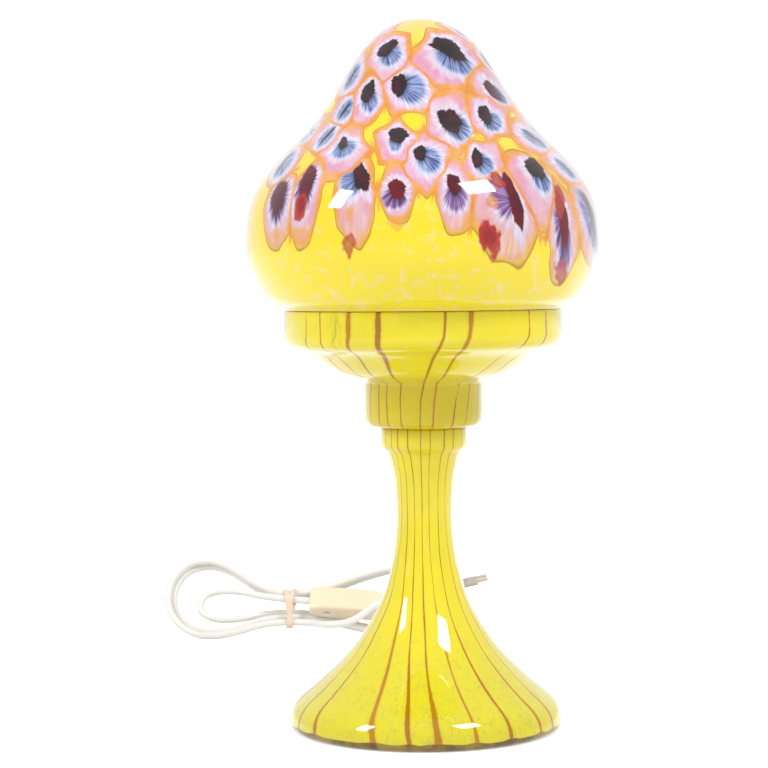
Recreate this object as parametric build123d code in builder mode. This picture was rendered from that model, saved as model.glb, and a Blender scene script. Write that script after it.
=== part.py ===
"""Table lamp of blown glass: a one-piece base, a lift-off shade, its fitting, bulb, cord, switch and plug."""

import math
import os

from build123d import *

os.makedirs("parts", exist_ok=True)


# Shared clearances, in millimetres
seat_gap = 0.3
running_gap = 0.05
cut_overrun = 2.0

# Glass base, measured from the table up
glass_wall = 4.0
foot_radius = 84.4
foot_lip_height = 5.8
foot_ring_radius = 77.0
foot_ring_width = 5.0
flare_height = 94.0
flare_top_radius = 22.0
stem_waist_radius = 17.0
stem_height = 168.0
stem_top_radius = 21.3
ring_radius = 26.5
ring_height = 17.6
ring_corner = 4.6
groove_depth = 1.2
collar_radius = 36.3
collar_height = 27.4
collar_corner = 5.5
cup_radius = 85.4
cup_height = 28.8
rim_height = 16.0
rim_round = 1.2
bore_radius = 12.5
throat_radius = 19.5
throat_height = 20.0
ledge_thickness = 3.2
ledge_bore_radius = 21.5
collar_bore_radius = 31.5

# Glass shade
shade_wall = 4.0
shade_radius = 108.0
shade_height = 177.7
shade_foot_radius = 86.0
neck_clearance = 1.4
neck_depth = 9.0
neck_wall = 3.2

# Round mains cord and the hole it leaves by
cord_diameter = 5.4
cord_radius = cord_diameter / 2
cord_hole_height = 11.0
cord_hole_radius = 4.6

# Hollow threaded tube and what it clamps
tube_radius = 5.0
tube_bore_radius = 4.0
gasket_thickness = 1.5
plate_radius = 30.0
plate_thickness = 2.0
vent_radius = 3.2
vent_count = 4
nut_width = 14.0
nut_thickness = 4.0
bung_height = 12.0
washer_radius = 15.0
washer_thickness = 1.5
lock_washer_radius = 8.0
lock_washer_thickness = 1.0
tooth_count = 8
tooth_depth = 1.2
bush_radius = 6.6
bush_flange_thickness = 2.0

# Lampholder for the small screw cap
holder_cap_radius = 13.0
holder_cap_height = 19.0
holder_cap_floor = 5.0
holder_wall = 2.0
holder_body_radius = 14.0
holder_body_height = 31.0
holder_block_height = 8.0
shell_bore_radius = 7.3
shell_wall = 0.5
shell_height = 21.0
side_screw_radius = 1.5

# Small globe bulb with its screw cap
bulb_radius = 22.5
bulb_glass_wall = 0.8
bulb_cap_radius = 6.95
bulb_cap_wall = 0.4
bulb_cap_height = 17.0
thread_pitch = 2.82
thread_depth = 0.55
bulb_neck_radius = 9.5
bulb_length = 78.0
insulator_height = 3.0
contact_radius = 2.3
contact_height = 1.2
filament_length = 24.0
filament_radius = 0.9
filament_count = 4

# In-line switch
switch_length = 56.0
switch_width = 18.0
switch_height = 19.0
switch_end_width = 10.0
switch_taper = 9.0
switch_wall = 1.8
switch_edge = 2.6
rocker_length = 16.6
rocker_width = 8.4
rocker_rise = 1.7
rocker_tilt = 7.0
rocker_pin_radius = 1.2
window_gap = 0.7
screw_head_radius = 2.4
screw_body_radius = 1.3

# Flat two-pin plug
plug_width = 35.3
plug_thickness = 13.7
plug_length = 36.0
plug_nose_width = 26.0
plug_tail_width = 14.0
plug_edge = 2.2
pin_radius = 2.0
pin_core_radius = 1.5
pin_sleeve_radius = 2.3
pin_length = 19.0
pin_sleeve_length = 10.0
pin_spacing = 19.0
pin_embed = 6.0
relief_length = 20.0
relief_end_radius = 3.6
relief_root_radius = 5.2


def write(piece, label):
    """Names a finished piece and writes it to its own file."""
    piece.part.label = label
    export_step(piece.part, f"parts/{label}.step")
    solids = piece.part.solids()
    print(label, len(solids), round(sum(solid.volume for solid in solids), 1))


def inset(line, shares, wall):
    """Points one wall inside an outline that runs upwards, square to it, at shares of its length."""
    points = []
    for share in shares:
        way = line.tangent_at(share)
        points.append(line.position_at(share) + Vector(-way.Y, way.X) * wall)
    return points


# Heights that follow from the table up
ring_top = stem_height + ring_height
collar_bottom = ring_top + groove_depth
ledge_height = collar_bottom + ledge_thickness
collar_top = collar_bottom + collar_height
cup_corner_height = collar_top + cup_height
cup_rim_height = cup_corner_height + rim_height
throat_top = flare_height + 0.5 * throat_height
throat_bottom = throat_top - throat_height

# Blown glass base: foot, stem, ring, collar and cup are one wall of glass.
# Each flare point is a share of the flare's height and a share of the way out to the foot's radius.
flare_shares = [(0.088, 0.995), (0.169, 0.943), (0.249, 0.812), (0.37, 0.6), (0.502, 0.403), (0.635, 0.253)]
flare_shares += [(0.734, 0.162), (0.872, 0.06)]
# Each stem point is a share of the stem's height over the flare and of the way from the waist to the flare.
stem_shares = [(0.127, 0.56), (0.295, 0.2), (0.568, 0.0), (0.716, 0.12), (0.851, 0.32), (0.95, 0.68)]
# Each cup point is a share of the way out from the collar and a share of the way up to the cup's corner.
cup_shares = [(0.126, 0.083), (0.289, 0.17), (0.464, 0.34), (0.603, 0.514), (0.678, 0.597)]
cup_shares += [(0.792, 0.684), (0.923, 0.778), (0.98, 0.868)]

foot_wall = glass_wall + 0.125 * glass_wall
with BuildPart() as base_glass:
    with BuildSketch(Plane.XZ):
        with BuildLine():
            ring_outer = (foot_ring_radius, 0)
            lip = (foot_radius, foot_lip_height)
            TangentArc(ring_outer, lip, tangent=(1, 0))
            flare = Spline(
                lip,
                *[
                    (flare_top_radius + out * (foot_radius - flare_top_radius), up * flare_height)
                    for up, out in flare_shares
                ],
                (flare_top_radius, flare_height),
                *[
                    (
                        stem_waist_radius + out * (flare_top_radius - stem_waist_radius),
                        flare_height + up * (stem_height - flare_height),
                    )
                    for up, out in stem_shares
                ],
                (stem_top_radius, stem_height),
                tangents=[(0, 1), (0.3, 1)],
            )
            ring_start = (stem_top_radius + 0.25 * ring_corner, stem_height + 0.45 * ring_corner)
            Line(flare @ 1, ring_start)
            ring_side = (ring_radius, stem_height + 0.45 * ring_corner + 1.9 * ring_corner)
            ThreePointArc(
                ring_start,
                (ring_radius - 0.3 * ring_corner, stem_height + 1.15 * ring_corner),
                ring_side,
            )
            Line(ring_side, (ring_radius, ring_top))
            Line((ring_radius, ring_top), (ring_radius - groove_depth, collar_bottom))
            collar_start = (collar_radius - collar_corner, collar_bottom)
            Line((ring_radius - groove_depth, collar_bottom), collar_start)
            collar_side = (collar_radius, collar_bottom + collar_corner)
            RadiusArc(collar_start, collar_side, -collar_corner)
            Line(collar_side, (collar_radius, collar_top))
            cup = Spline(
                (collar_radius, collar_top),
                *[
                    (
                        collar_radius + out * (cup_radius - collar_radius),
                        collar_top + up * (cup_corner_height - collar_top),
                    )
                    for out, up in cup_shares
                ],
                (cup_radius, cup_corner_height),
            )
            rim_side = (cup_radius, cup_rim_height - rim_round)
            Line(cup @ 1, rim_side)
            rim_outer = (cup_radius - rim_round, cup_rim_height)
            RadiusArc(rim_side, rim_outer, -rim_round)
            cup_bore_radius = cup_radius - glass_wall
            rim_inner = (cup_bore_radius + rim_round, cup_rim_height)
            Line(rim_outer, rim_inner)
            rim_bore = (cup_bore_radius, cup_rim_height - rim_round)
            RadiusArc(rim_inner, rim_bore, -rim_round)
            cup_inside = inset(cup, (0.94, 0.8, 0.6, 0.4, 0.2), glass_wall)
            cup_wall_foot = (cup_bore_radius, cup_corner_height)
            Line(rim_bore, cup_wall_foot)
            cup_floor_end = (collar_bore_radius, collar_top + glass_wall)
            Spline(cup_wall_foot, *cup_inside, cup_floor_end)
            Polyline(
                cup_floor_end,
                (collar_bore_radius, ledge_height),
                (ledge_bore_radius, ledge_height),
                (ledge_bore_radius, stem_height + ring_corner),
                (bore_radius, stem_height - ring_corner),
                (bore_radius, throat_top),
                (throat_radius, throat_bottom),
            )
            flare_inside = inset(flare, (0.33, 0.22, 0.12), foot_wall)
            foot_inner = (foot_ring_radius - foot_ring_width, 0)
            Spline((throat_radius, throat_bottom), *flare_inside, foot_inner)
            Line(foot_inner, ring_outer)
        make_face()
    revolve(axis=Axis.Z)
    cord_plane = Plane(origin=(0, 0, cord_hole_height), x_dir=(1, 0, 0), z_dir=(0, 1, 0))
    with BuildSketch(cord_plane.offset(foot_ring_radius - 3 * foot_wall)):
        Circle(cord_hole_radius)
    extrude(amount=foot_radius, mode=Mode.SUBTRACT)
write(base_glass, "base_glass")

# Blown glass shade: a closed dome with a flat shoulder on the cup's rim and a short neck inside it.
shoulder_height = cup_rim_height + seat_gap
shade_top = shoulder_height + shade_height
neck_radius = cup_bore_radius - neck_clearance
neck_bore_radius = neck_radius - neck_wall
# Each belly point is a share of the way out from the shoulder and of the shade's height.
belly_shares = [(0.382, 0.032), (0.595, 0.066), (0.745, 0.101), (0.95, 0.17)]
# Each dome point is a share of the shade's radius and of its height, from the shoulder up.
dome_shares = [
    (1.0, 0.258),
    (0.983, 0.343),
    (0.94, 0.4125),
    (0.864, 0.481),
    (0.758, 0.55),
    (0.642, 0.619),
    (0.551, 0.6876),
    (0.474, 0.757),
    (0.408, 0.8256),
    (0.363, 0.867),
    (0.311, 0.908),
    (0.266, 0.935),
    (0.192, 0.966),
    (0.1, 0.991),
]


def shade_points(wall):
    """Points up the shade's outer line, or up its inner line where a wall's thickness is given."""
    belly = [
        (
            shade_foot_radius + out * (shade_radius - shade_foot_radius) - wall,
            shoulder_height + up * (shade_height - wall),
        )
        for out, up in belly_shares
    ]
    dome = [
        (out * (shade_radius - wall), shoulder_height + up * (shade_height - wall))
        for out, up in dome_shares
    ]
    return belly + dome


with BuildPart() as shade_glass:
    with BuildSketch(Plane.XZ):
        with BuildLine():
            dome = Spline(
                (shade_foot_radius, shoulder_height + 0.25 * shade_wall),
                *shade_points(0.0),
                (0, shade_top),
            )
            neck_end = (neck_bore_radius, shoulder_height + 0.8 * shade_wall)
            Polyline(
                dome @ 0,
                (shade_foot_radius - 0.25 * shade_wall, shoulder_height),
                (neck_radius, shoulder_height),
                (neck_radius, shoulder_height - neck_depth),
                (neck_bore_radius, shoulder_height - neck_depth),
                neck_end,
            )
            Spline(neck_end, *shade_points(shade_wall)[1:], (0, shade_top - shade_wall))
            Line((0, shade_top - shade_wall), dome @ 1)
        make_face()
    revolve(axis=Axis.Z)
write(shade_glass, "shade_glass")


def disc(label, bottom, height, outer, inner=0):
    """A flat round piece on the lamp's axis, with a hole if it has an inner radius."""
    with BuildPart() as piece:
        with BuildSketch(Plane.XY.offset(bottom)):
            Circle(outer)
            if inner:
                Circle(inner, mode=Mode.SUBTRACT)
        extrude(amount=height)
    write(piece, label)


def nut(label, bottom):
    """A hexagon nut round the threaded tube."""
    with BuildPart() as piece:
        with BuildSketch(Plane.XY.offset(bottom)):
            RegularPolygon(nut_width / 2, 6, major_radius=False)
            Circle(tube_radius + running_gap, mode=Mode.SUBTRACT)
        extrude(amount=nut_thickness)
    write(piece, label)


# Gasket, plate and nut on the ledge in the collar, from the glass up
plate_bottom = ledge_height + gasket_thickness
plate_top = plate_bottom + plate_thickness
gasket_inner_radius = ledge_bore_radius + 2 * seat_gap
disc("ledge_gasket", ledge_height, gasket_thickness, plate_radius, gasket_inner_radius)
with BuildPart() as holder_plate:
    with BuildSketch(Plane.XY.offset(plate_bottom)):
        Circle(plate_radius)
        Circle(tube_radius + running_gap, mode=Mode.SUBTRACT)
        with PolarLocations((tube_radius + gasket_inner_radius) / 2, vent_count):
            Circle(vent_radius, mode=Mode.SUBTRACT)
    extrude(amount=plate_thickness)
write(holder_plate, "holder_plate")
nut("plate_nut", plate_top)

# Tapered bung in the stem's throat, with the washer, toothed washer and nut that draw it up
throat_slope = (throat_radius - bore_radius) / (throat_top - throat_bottom)
bung_top = throat_top - (throat_top - throat_bottom - bung_height) / 2
bung_bottom = bung_top - bung_height
bung_top_radius = bore_radius + throat_slope * (throat_top - bung_top) - seat_gap
bung_bottom_radius = bung_top_radius + throat_slope * bung_height
with BuildPart() as throat_bung:
    with BuildSketch(Plane.XZ):
        Polygon(
            (tube_radius + running_gap, bung_bottom),
            (bung_bottom_radius, bung_bottom),
            (bung_top_radius, bung_top),
            (tube_radius + running_gap, bung_top),
            align=None,
        )
    revolve(axis=Axis.Z)
write(throat_bung, "throat_bung")
bung_washer_bottom = bung_bottom - washer_thickness
disc("bung_washer", bung_washer_bottom, washer_thickness, washer_radius, tube_radius + running_gap)
lock_washer_bottom = bung_washer_bottom - lock_washer_thickness
with BuildPart() as lock_washer:
    with BuildSketch(Plane.XY.offset(lock_washer_bottom)):
        Circle(lock_washer_radius)
        Circle(tube_radius + running_gap, mode=Mode.SUBTRACT)
        with PolarLocations(lock_washer_radius, tooth_count):
            Rectangle(2 * tooth_depth, tooth_depth, mode=Mode.SUBTRACT)
    extrude(amount=lock_washer_thickness)
write(lock_washer, "lock_washer")
clamp_nut_bottom = lock_washer_bottom - nut_thickness
nut("clamp_nut", clamp_nut_bottom)

# Hollow threaded tube, from under the lower nut up into the lampholder's cap
holder_bottom = plate_top + nut_thickness
tube_bottom = clamp_nut_bottom - nut_thickness
tube_top = holder_bottom + holder_cap_floor
disc("threaded_tube", tube_bottom, tube_top - tube_bottom, tube_radius, tube_bore_radius)

# Bush pressed on the tube's lower end, so that its edge can't cut the cable
with BuildPart() as tube_bush:
    with BuildSketch(Plane.XZ):
        Polygon(
            (cord_radius + seat_gap, tube_bottom - bush_flange_thickness),
            (bush_radius, tube_bottom - bush_flange_thickness),
            (bush_radius, tube_bottom + 0.6 * nut_thickness),
            (tube_radius + running_gap, tube_bottom + 0.6 * nut_thickness),
            (tube_radius + running_gap, tube_bottom),
            (cord_radius + seat_gap, tube_bottom),
            align=None,
        )
    revolve(axis=Axis.Z)
write(tube_bush, "tube_bush")

# Lampholder: cap on the tube, body on the cap, and the block with the contacts inside
holder_cap_top = holder_bottom + holder_cap_height
with BuildPart() as holder_cap:
    with BuildSketch(Plane.XY.offset(holder_bottom)):
        Circle(holder_cap_radius)
    extrude(amount=holder_cap_height)
    fillet(holder_cap.edges().group_by(Axis.Z)[0], holder_wall)
    with BuildSketch(Plane.XY.offset(holder_bottom + holder_cap_floor)):
        Circle(holder_cap_radius - holder_wall)
    extrude(amount=holder_cap_height, mode=Mode.SUBTRACT)
    with BuildSketch(Plane.XY.offset(holder_bottom)):
        Circle(tube_radius + running_gap)
    extrude(amount=holder_cap_height, mode=Mode.SUBTRACT)
    side_screw_height = holder_bottom + 0.55 * holder_cap_floor
    side_screw_plane = Plane(origin=(0, 0, side_screw_height), x_dir=(0, 1, 0), z_dir=(1, 0, 0))
    with BuildSketch(side_screw_plane):
        Circle(side_screw_radius + running_gap)
    extrude(amount=holder_cap_radius + cut_overrun, mode=Mode.SUBTRACT)
write(holder_cap, "holder_cap")

with BuildPart() as holder_side_screw:
    with BuildSketch(side_screw_plane.offset(tube_radius + running_gap)):
        Circle(side_screw_radius)
    extrude(amount=holder_cap_radius - tube_radius)
    with BuildSketch(side_screw_plane.offset(holder_cap_radius - 0.5 * side_screw_radius)):
        Rectangle(0.4 * side_screw_radius, 2 * side_screw_radius + cut_overrun)
    extrude(amount=cut_overrun, mode=Mode.SUBTRACT)
write(holder_side_screw, "holder_side_screw")

body_top = holder_cap_top + holder_body_height
block_bottom = holder_cap_top - 0.5 * holder_block_height
block_top = block_bottom + holder_block_height
block_radius = holder_cap_radius - holder_wall - running_gap
with BuildPart() as holder_body:
    with BuildSketch(Plane.XZ):
        Polygon(
            (block_radius + running_gap, holder_cap_top),
            (holder_body_radius, holder_cap_top),
            (holder_body_radius - 0.4 * holder_wall, body_top - holder_wall),
            (holder_body_radius - 1.2 * holder_wall, body_top),
            (block_radius + running_gap, body_top),
            align=None,
        )
    revolve(axis=Axis.Z)
write(holder_body, "holder_body")

core_radius = 1.1
core_place = 0.62 * block_radius
terminal_radius = 1.4
with BuildPart() as holder_block:
    with BuildSketch(Plane.XY.offset(block_bottom)):
        Circle(block_radius)
        with Locations((core_place, 0), (-core_place, 0)):
            Circle(core_radius + running_gap, mode=Mode.SUBTRACT)
        with Locations((0, core_place), (0, -core_place)):
            Circle(terminal_radius + running_gap, mode=Mode.SUBTRACT)
    extrude(amount=holder_block_height)
write(holder_block, "holder_block")

with BuildPart() as terminal_screws:
    with BuildSketch(Plane.XY.offset(block_bottom)):
        with Locations((0, core_place), (0, -core_place)):
            Circle(terminal_radius)
    extrude(amount=0.9 * holder_block_height)
write(terminal_screws, "terminal_screws")

# Screw shell on the block, open at the top, with a floor that has a hole for the centre contact
contact_hole_radius = 2 * contact_radius
with BuildPart() as screw_shell:
    with BuildSketch(Plane.XZ):
        Polygon(
            (contact_hole_radius, block_top),
            (shell_bore_radius + shell_wall, block_top),
            (shell_bore_radius + shell_wall, block_top + shell_height),
            (shell_bore_radius, block_top + shell_height),
            (shell_bore_radius, block_top + shell_wall),
            (contact_hole_radius, block_top + shell_wall),
            align=None,
        )
    revolve(axis=Axis.Z)
write(screw_shell, "screw_shell")

contact_tongue_rise = 2.0
with BuildPart() as centre_contact:
    with BuildSketch(Plane.XZ):
        with BuildLine():
            tongue = [
                (-0.8 * contact_hole_radius, block_top),
                (0, block_top + contact_tongue_rise - shell_wall),
                (0.8 * contact_hole_radius, block_top),
            ]
            ThreePointArc(*tongue)
            offset(amount=0.5 * shell_wall, side=Side.BOTH)
        make_face()
    extrude(amount=contact_radius, both=True)
    split(bisect_by=Plane.XY.offset(block_top), keep=Keep.TOP)
write(centre_contact, "centre_contact")

# Globe bulb, from the tip of its contact up. Its cap hangs in the screw shell by the pitch of the thread.
bulb_bottom = block_top + contact_tongue_rise + seat_gap
insulator_bottom = bulb_bottom + contact_height
cap_bottom = insulator_bottom + insulator_height
cap_top = cap_bottom + bulb_cap_height
bulb_top = bulb_bottom + bulb_length
globe_height = bulb_top - bulb_radius
thread_count = 5
with BuildPart() as bulb_contact:
    with BuildSketch(Plane.XZ):
        Polygon(
            (0, bulb_bottom),
            (0.5 * contact_radius, bulb_bottom),
            (0.9 * contact_radius, bulb_bottom + 0.4 * contact_height),
            (contact_radius, insulator_bottom),
            (0, insulator_bottom),
            align=None,
        )
    revolve(axis=Axis.Z)
write(bulb_contact, "bulb_contact")

with BuildPart() as bulb_insulator:
    with BuildSketch(Plane.XZ):
        Polygon(
            (0, insulator_bottom),
            (1.2 * contact_radius, insulator_bottom),
            (bulb_cap_radius - 2 * bulb_cap_wall, cap_bottom),
            (0, cap_bottom),
            align=None,
        )
    revolve(axis=Axis.Z)
write(bulb_insulator, "bulb_insulator")

with BuildPart() as bulb_cap:
    with BuildSketch(Plane.XZ):
        with BuildLine():
            crest = bulb_cap_radius
            root = bulb_cap_radius - thread_depth
            path = [(root, cap_bottom)]
            for turn in range(thread_count):
                turn_bottom = cap_bottom + turn * thread_pitch
                path.append((crest, turn_bottom + 0.5 * thread_pitch))
                path.append((root, turn_bottom + thread_pitch))
            path.append((bulb_cap_radius, cap_top))
            path.append((root - bulb_cap_wall, cap_top))
            path.append((root - bulb_cap_wall, cap_bottom))
            Polyline(*path, close=True)
        make_face()
    revolve(axis=Axis.Z)
write(bulb_cap, "bulb_cap")

neck_bottom = cap_top
with BuildPart() as bulb_glass:
    with BuildSketch(Plane.XZ):
        with BuildLine():
            side = (bulb_radius, globe_height)
            neck = Spline(
                (bulb_cap_radius, neck_bottom),
                (bulb_neck_radius, neck_bottom + 0.25 * (globe_height - neck_bottom)),
                side,
                tangents=[(0.2, 1), (0, 1)],
            )
            crown = RadiusArc(side, (0, bulb_top), -bulb_radius)
            Line((0, bulb_top), (0, bulb_top - bulb_glass_wall))
            inner_radius = bulb_radius - bulb_glass_wall
            RadiusArc((0, bulb_top - bulb_glass_wall), (inner_radius, globe_height), inner_radius)
            neck_inside = inset(neck, (0.6, 0.3), bulb_glass_wall)
            lowest = (bulb_cap_radius - bulb_glass_wall, neck_bottom)
            Spline((inner_radius, globe_height), *neck_inside, lowest)
            Line(lowest, neck @ 0)
        make_face()
    revolve(axis=Axis.Z)
write(bulb_glass, "bulb_glass")

mount_height = 0.45 * bulb_length
mount_radius = 2.2
with BuildPart() as bulb_mount:
    with BuildSketch(Plane.XZ):
        Polygon(
            (0, cap_bottom),
            (bulb_cap_radius - thread_depth - 2 * bulb_cap_wall, cap_bottom),
            (mount_radius, cap_top),
            (0.6 * mount_radius, cap_bottom + mount_height),
            (0, cap_bottom + mount_height),
            align=None,
        )
    revolve(axis=Axis.Z)
write(bulb_mount, "bulb_mount")

with BuildPart() as bulb_filaments:
    filament_bottom = cap_top + seat_gap
    with BuildSketch(Plane.XY.offset(filament_bottom)):
        with PolarLocations(mount_radius + filament_radius + running_gap, filament_count):
            Circle(filament_radius)
    extrude(amount=filament_length)
write(bulb_filaments, "bulb_filaments")

# Cable held inside the lamp, from the lampholder's cap down the tube and out to the grommet
relief_tail = 20.0
grommet_radius = cord_hole_radius - running_gap
grommet_flange_radius = 7.0
grommet_flange_start = foot_radius + seat_gap
grommet_flange_thickness = 2.0
grommet_tail_end = grommet_flange_start + grommet_flange_thickness + relief_tail
inner_bend_radius = 5 * cord_diameter
cord_inner_top = tube_top + 0.3 * holder_cap_floor
inner_route = [
    (0, 0, cord_inner_top),
    (0, 0, 0.44 * tube_bottom),
    (0, 0.42 * foot_radius, cord_hole_height),
    (0, grommet_flange_start, cord_hole_height),
]
with BuildPart() as cord_inner:
    with BuildLine() as inner_path:
        FilletPolyline(*inner_route, radius=inner_bend_radius)
    with BuildSketch(Plane(origin=inner_path.line @ 0, z_dir=inner_path.line % 0)):
        Circle(cord_radius)
    sweep()
write(cord_inner, "cord_inner")

core_rise = block_bottom - cord_inner_top
for label, side in (("core_brown", 1), ("core_blue", -1)):
    core_route = [
        (side * 1.1 * core_radius, 0, cord_inner_top),
        (side * 1.1 * core_radius, 0, cord_inner_top + 0.35 * core_rise),
        (side * core_place, 0, cord_inner_top + 0.75 * core_rise),
        (side * core_place, 0, block_bottom + 0.8 * holder_block_height),
    ]
    with BuildPart() as core:
        with BuildLine() as core_path:
            FilletPolyline(*core_route, radius=1.5 * core_radius)
        with BuildSketch(Plane(origin=core_path.line @ 0, z_dir=core_path.line % 0)):
            Circle(core_radius)
        sweep()
    write(core, label)

# Grommet in the foot's hole, with a tapered tail that guards the cord's bend
with BuildPart() as cord_grommet:
    with BuildSketch(Plane.YZ):
        Polygon(
            (grommet_flange_start - 3 * foot_wall, cord_hole_height + cord_radius + running_gap),
            (grommet_flange_start - 3 * foot_wall, cord_hole_height + grommet_radius),
            (grommet_flange_start, cord_hole_height + grommet_radius),
            (grommet_flange_start, cord_hole_height + grommet_flange_radius),
            (grommet_flange_start + grommet_flange_thickness, cord_hole_height + grommet_flange_radius),
            (grommet_flange_start + grommet_flange_thickness, cord_hole_height + relief_root_radius),
            (grommet_tail_end, cord_hole_height + relief_end_radius),
            (grommet_tail_end, cord_hole_height + cord_radius + running_gap),
            align=None,
        )
    cord_axis = Axis((0, 0, cord_hole_height), (0, 1, 0))
    revolve(axis=cord_axis)
write(cord_grommet, "cord_grommet")

# The hank leans back. Its plane is given along the table, up the lean, and out of the lean to the front.
hank_lean = 55.0
hank_place = (-99.0, 372.0, 19.4)
lean_sin = math.sin(math.radians(hank_lean))
lean_cos = math.cos(math.radians(hank_lean))
hank_plane = Plane(origin=hank_place, x_dir=(1, 0, 0), z_dir=(0, -lean_sin, lean_cos))


def hank_point(along, up, out):
    """A point of the hank, from its own plane to the lamp's frame."""
    return hank_plane.from_local_coords(Vector(along, up, out))


def hank_way(along, up, out=0):
    """A direction of the hank's own plane in the lamp's frame."""
    return (hank_point(along, up, out) - hank_point(0, 0, 0)).normalized()


def add_arc(start, way, end):
    """An arc that leaves start along way and ends at end, or a straight run where end lies on the way."""
    if way.get_angle(end - start) < 0.05:
        return Line(start, end)
    return TangentArc(start, end, tangent=way)


def add_biarc(start, start_way, end, end_way):
    """Two arcs that join smoothly, from one point and way to another."""
    chord = end - start
    ways = start_way + end_way
    spread = 2 * (1 - start_way.dot(end_way))
    along = chord.dot(ways)
    reach = (math.sqrt(along * along + spread * chord.dot(chord)) - along) / spread
    joint = (start + end + (start_way - end_way) * reach) * 0.5
    first = add_arc(start, start_way, joint)
    add_arc(joint, first % 1, end)


def add_run(start, start_way, end, end_way, first_reach, last_reach):
    """A straight run with a tangent arc at each end. Each reach is from the arc's end to its corner."""
    most = 0.24 * (end - start).length
    first_reach = min(first_reach, most)
    last_reach = min(last_reach, most)
    first_corner = start + start_way * first_reach
    last_corner = end - end_way * last_reach
    way = (last_corner - first_corner).normalized()
    leave = first_corner + way * first_reach
    arrive = last_corner - way * last_reach
    add_arc(start, start_way, leave)
    Line(leave, arrive)
    add_arc(arrive, way, end)


# The waist's places are (up, out), the loops' are along, up and out of the hank's plane.
layer_step = 6.4
waist_row = 10.0
upper_waist = [(-1.0, 18.6), (waist_row, 0), (waist_row, layer_step)]
lower_waist = [(-0.31 * waist_row, 0), (-waist_row, layer_step), (-1.56 * waist_row, 1.4 * layer_step)]
left_loops = [
    {"end": (-70, 2), "top": (-53, 14.5), "bottom": (-52, -10.5), "out": 3.6},
    {"end": (-91, 9), "top": (-66, 36), "bottom": (-60, -21), "out": 3.2},
    {"end": (-95, 7), "top": (-68, 38), "bottom": (-62, -27), "out": 9.6},
]
right_loops = [
    {"end": (117, 6), "top": (90, 34), "bottom": (86, -20), "out": 0.0},
    {"end": (113, 4), "top": (86, 32), "bottom": (82, -24), "out": 6.4},
]
waist_half = 6.0
waist_reach = 11.0
strand_reach = 9.0
loop_reach = 15.0
switch_tilt = 5.0
switch_start = 16.0
switch_grip = 4.0


def add_loop(side, enter, enter_way, loop, leave, leave_way):
    """One loop of the hank: out along a run, round the end in two quarter turns, and back."""
    out = loop["out"]
    first, last = ("top", "bottom") if side < 0 else ("bottom", "top")
    first_point = hank_point(*loop[first], out)
    end_point = hank_point(*loop["end"], out)
    last_point = hank_point(*loop[last], out)
    outward = hank_way(side, 0)
    across = hank_way(0, side)
    inward = hank_way(-side, 0)
    add_run(enter, enter_way, first_point, outward, waist_reach, loop_reach)
    add_biarc(first_point, outward, end_point, across)
    add_biarc(end_point, across, last_point, inward)
    add_run(last_point, inward, leave, leave_way, loop_reach, waist_reach)


# The strand from the switch's end runs straight through the waist, along the switch's own tilt.
tilt_slope = math.tan(math.radians(switch_tilt))
leftward = hank_way(-1, 0)
rightward = hank_way(1, 0)
switch_way = hank_way(-1, tilt_slope)
switch_end_point = hank_point(
    switch_start, upper_waist[0][0] - switch_start * tilt_slope, upper_waist[0][1]
)
hank_start = switch_end_point - switch_way * switch_grip
waist_entry = hank_point(
    -waist_half, upper_waist[0][0] + waist_half * tilt_slope, upper_waist[0][1]
)

# The plug's strand leaves the waist low and in front, passes before the switch and rises to the plug.
plug_rise = 12.0
relief_end = hank_point(80, -8, 32)
plug_way = Vector(math.cos(math.radians(plug_rise)), 0, math.sin(math.radians(plug_rise)))
strand_low = hank_point(38, -28, 30)
strand_low_way = hank_way(1, 0.05, 0.15)

with BuildPart() as cord_hank:
    with BuildLine() as hank_path:
        Line(hank_start, waist_entry)
        entry, entry_way = waist_entry, switch_way
        for turn, loop in enumerate(left_loops):
            lower = hank_point(-waist_half, *lower_waist[turn])
            add_loop(-1, entry, entry_way, loop, lower, rightward)
            lower_right = hank_point(waist_half, *lower_waist[turn])
            Line(lower, lower_right)
            if turn < len(right_loops):
                upper_right = hank_point(waist_half, *upper_waist[turn + 1])
                add_loop(1, lower_right, rightward, right_loops[turn], upper_right, leftward)
                entry, entry_way = hank_point(-waist_half, *upper_waist[turn + 1]), leftward
                Line(upper_right, entry)
        add_run(lower_right, rightward, strand_low, strand_low_way, strand_reach, waist_reach)
        relief_mouth = relief_end + plug_way * switch_grip
        add_biarc(strand_low, strand_low_way, relief_end, plug_way)
        Line(relief_end, relief_mouth)
    with BuildSketch(Plane(origin=hank_path.line @ 0, z_dir=hank_path.line % 0)):
        Circle(cord_radius)
    sweep(path=hank_path.line)
write(cord_hank, "cord_hank")


def least_gap(wire, diameter, step):
    """The least free distance between stretches of a tube that aren't neighbours along it."""
    count = int(wire.length / step)
    points = [tuple(wire.position_at(place / count)) for place in range(count + 1)]
    apart = int(2.5 * diameter / step)
    least = min(
        (math.dist(points[first], points[second]), first * step, second * step)
        for first in range(count)
        for second in range(first + apart, count + 1)
    )
    return least[0] - diameter, least[1], least[2]


hank_wire = hank_path.wires()[0]
hank_gap = least_gap(hank_wire, cord_diameter, 2.0)
hank_share = cord_hank.part.volume / (math.pi * cord_radius**2 * hank_wire.length)
hank_radii = [edge.radius for edge in hank_wire.edges().filter_by(GeomType.CIRCLE)]
print("hank length", round(hank_wire.length, 1), "volume share", round(hank_share, 5))
print("hank least gap and where", [round(value, 2) for value in hank_gap])
print("hank radii", [round(radius, 1) for radius in hank_radii])
print("hank lowest", round(cord_hank.part.bounding_box().min.Z, 3))

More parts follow.
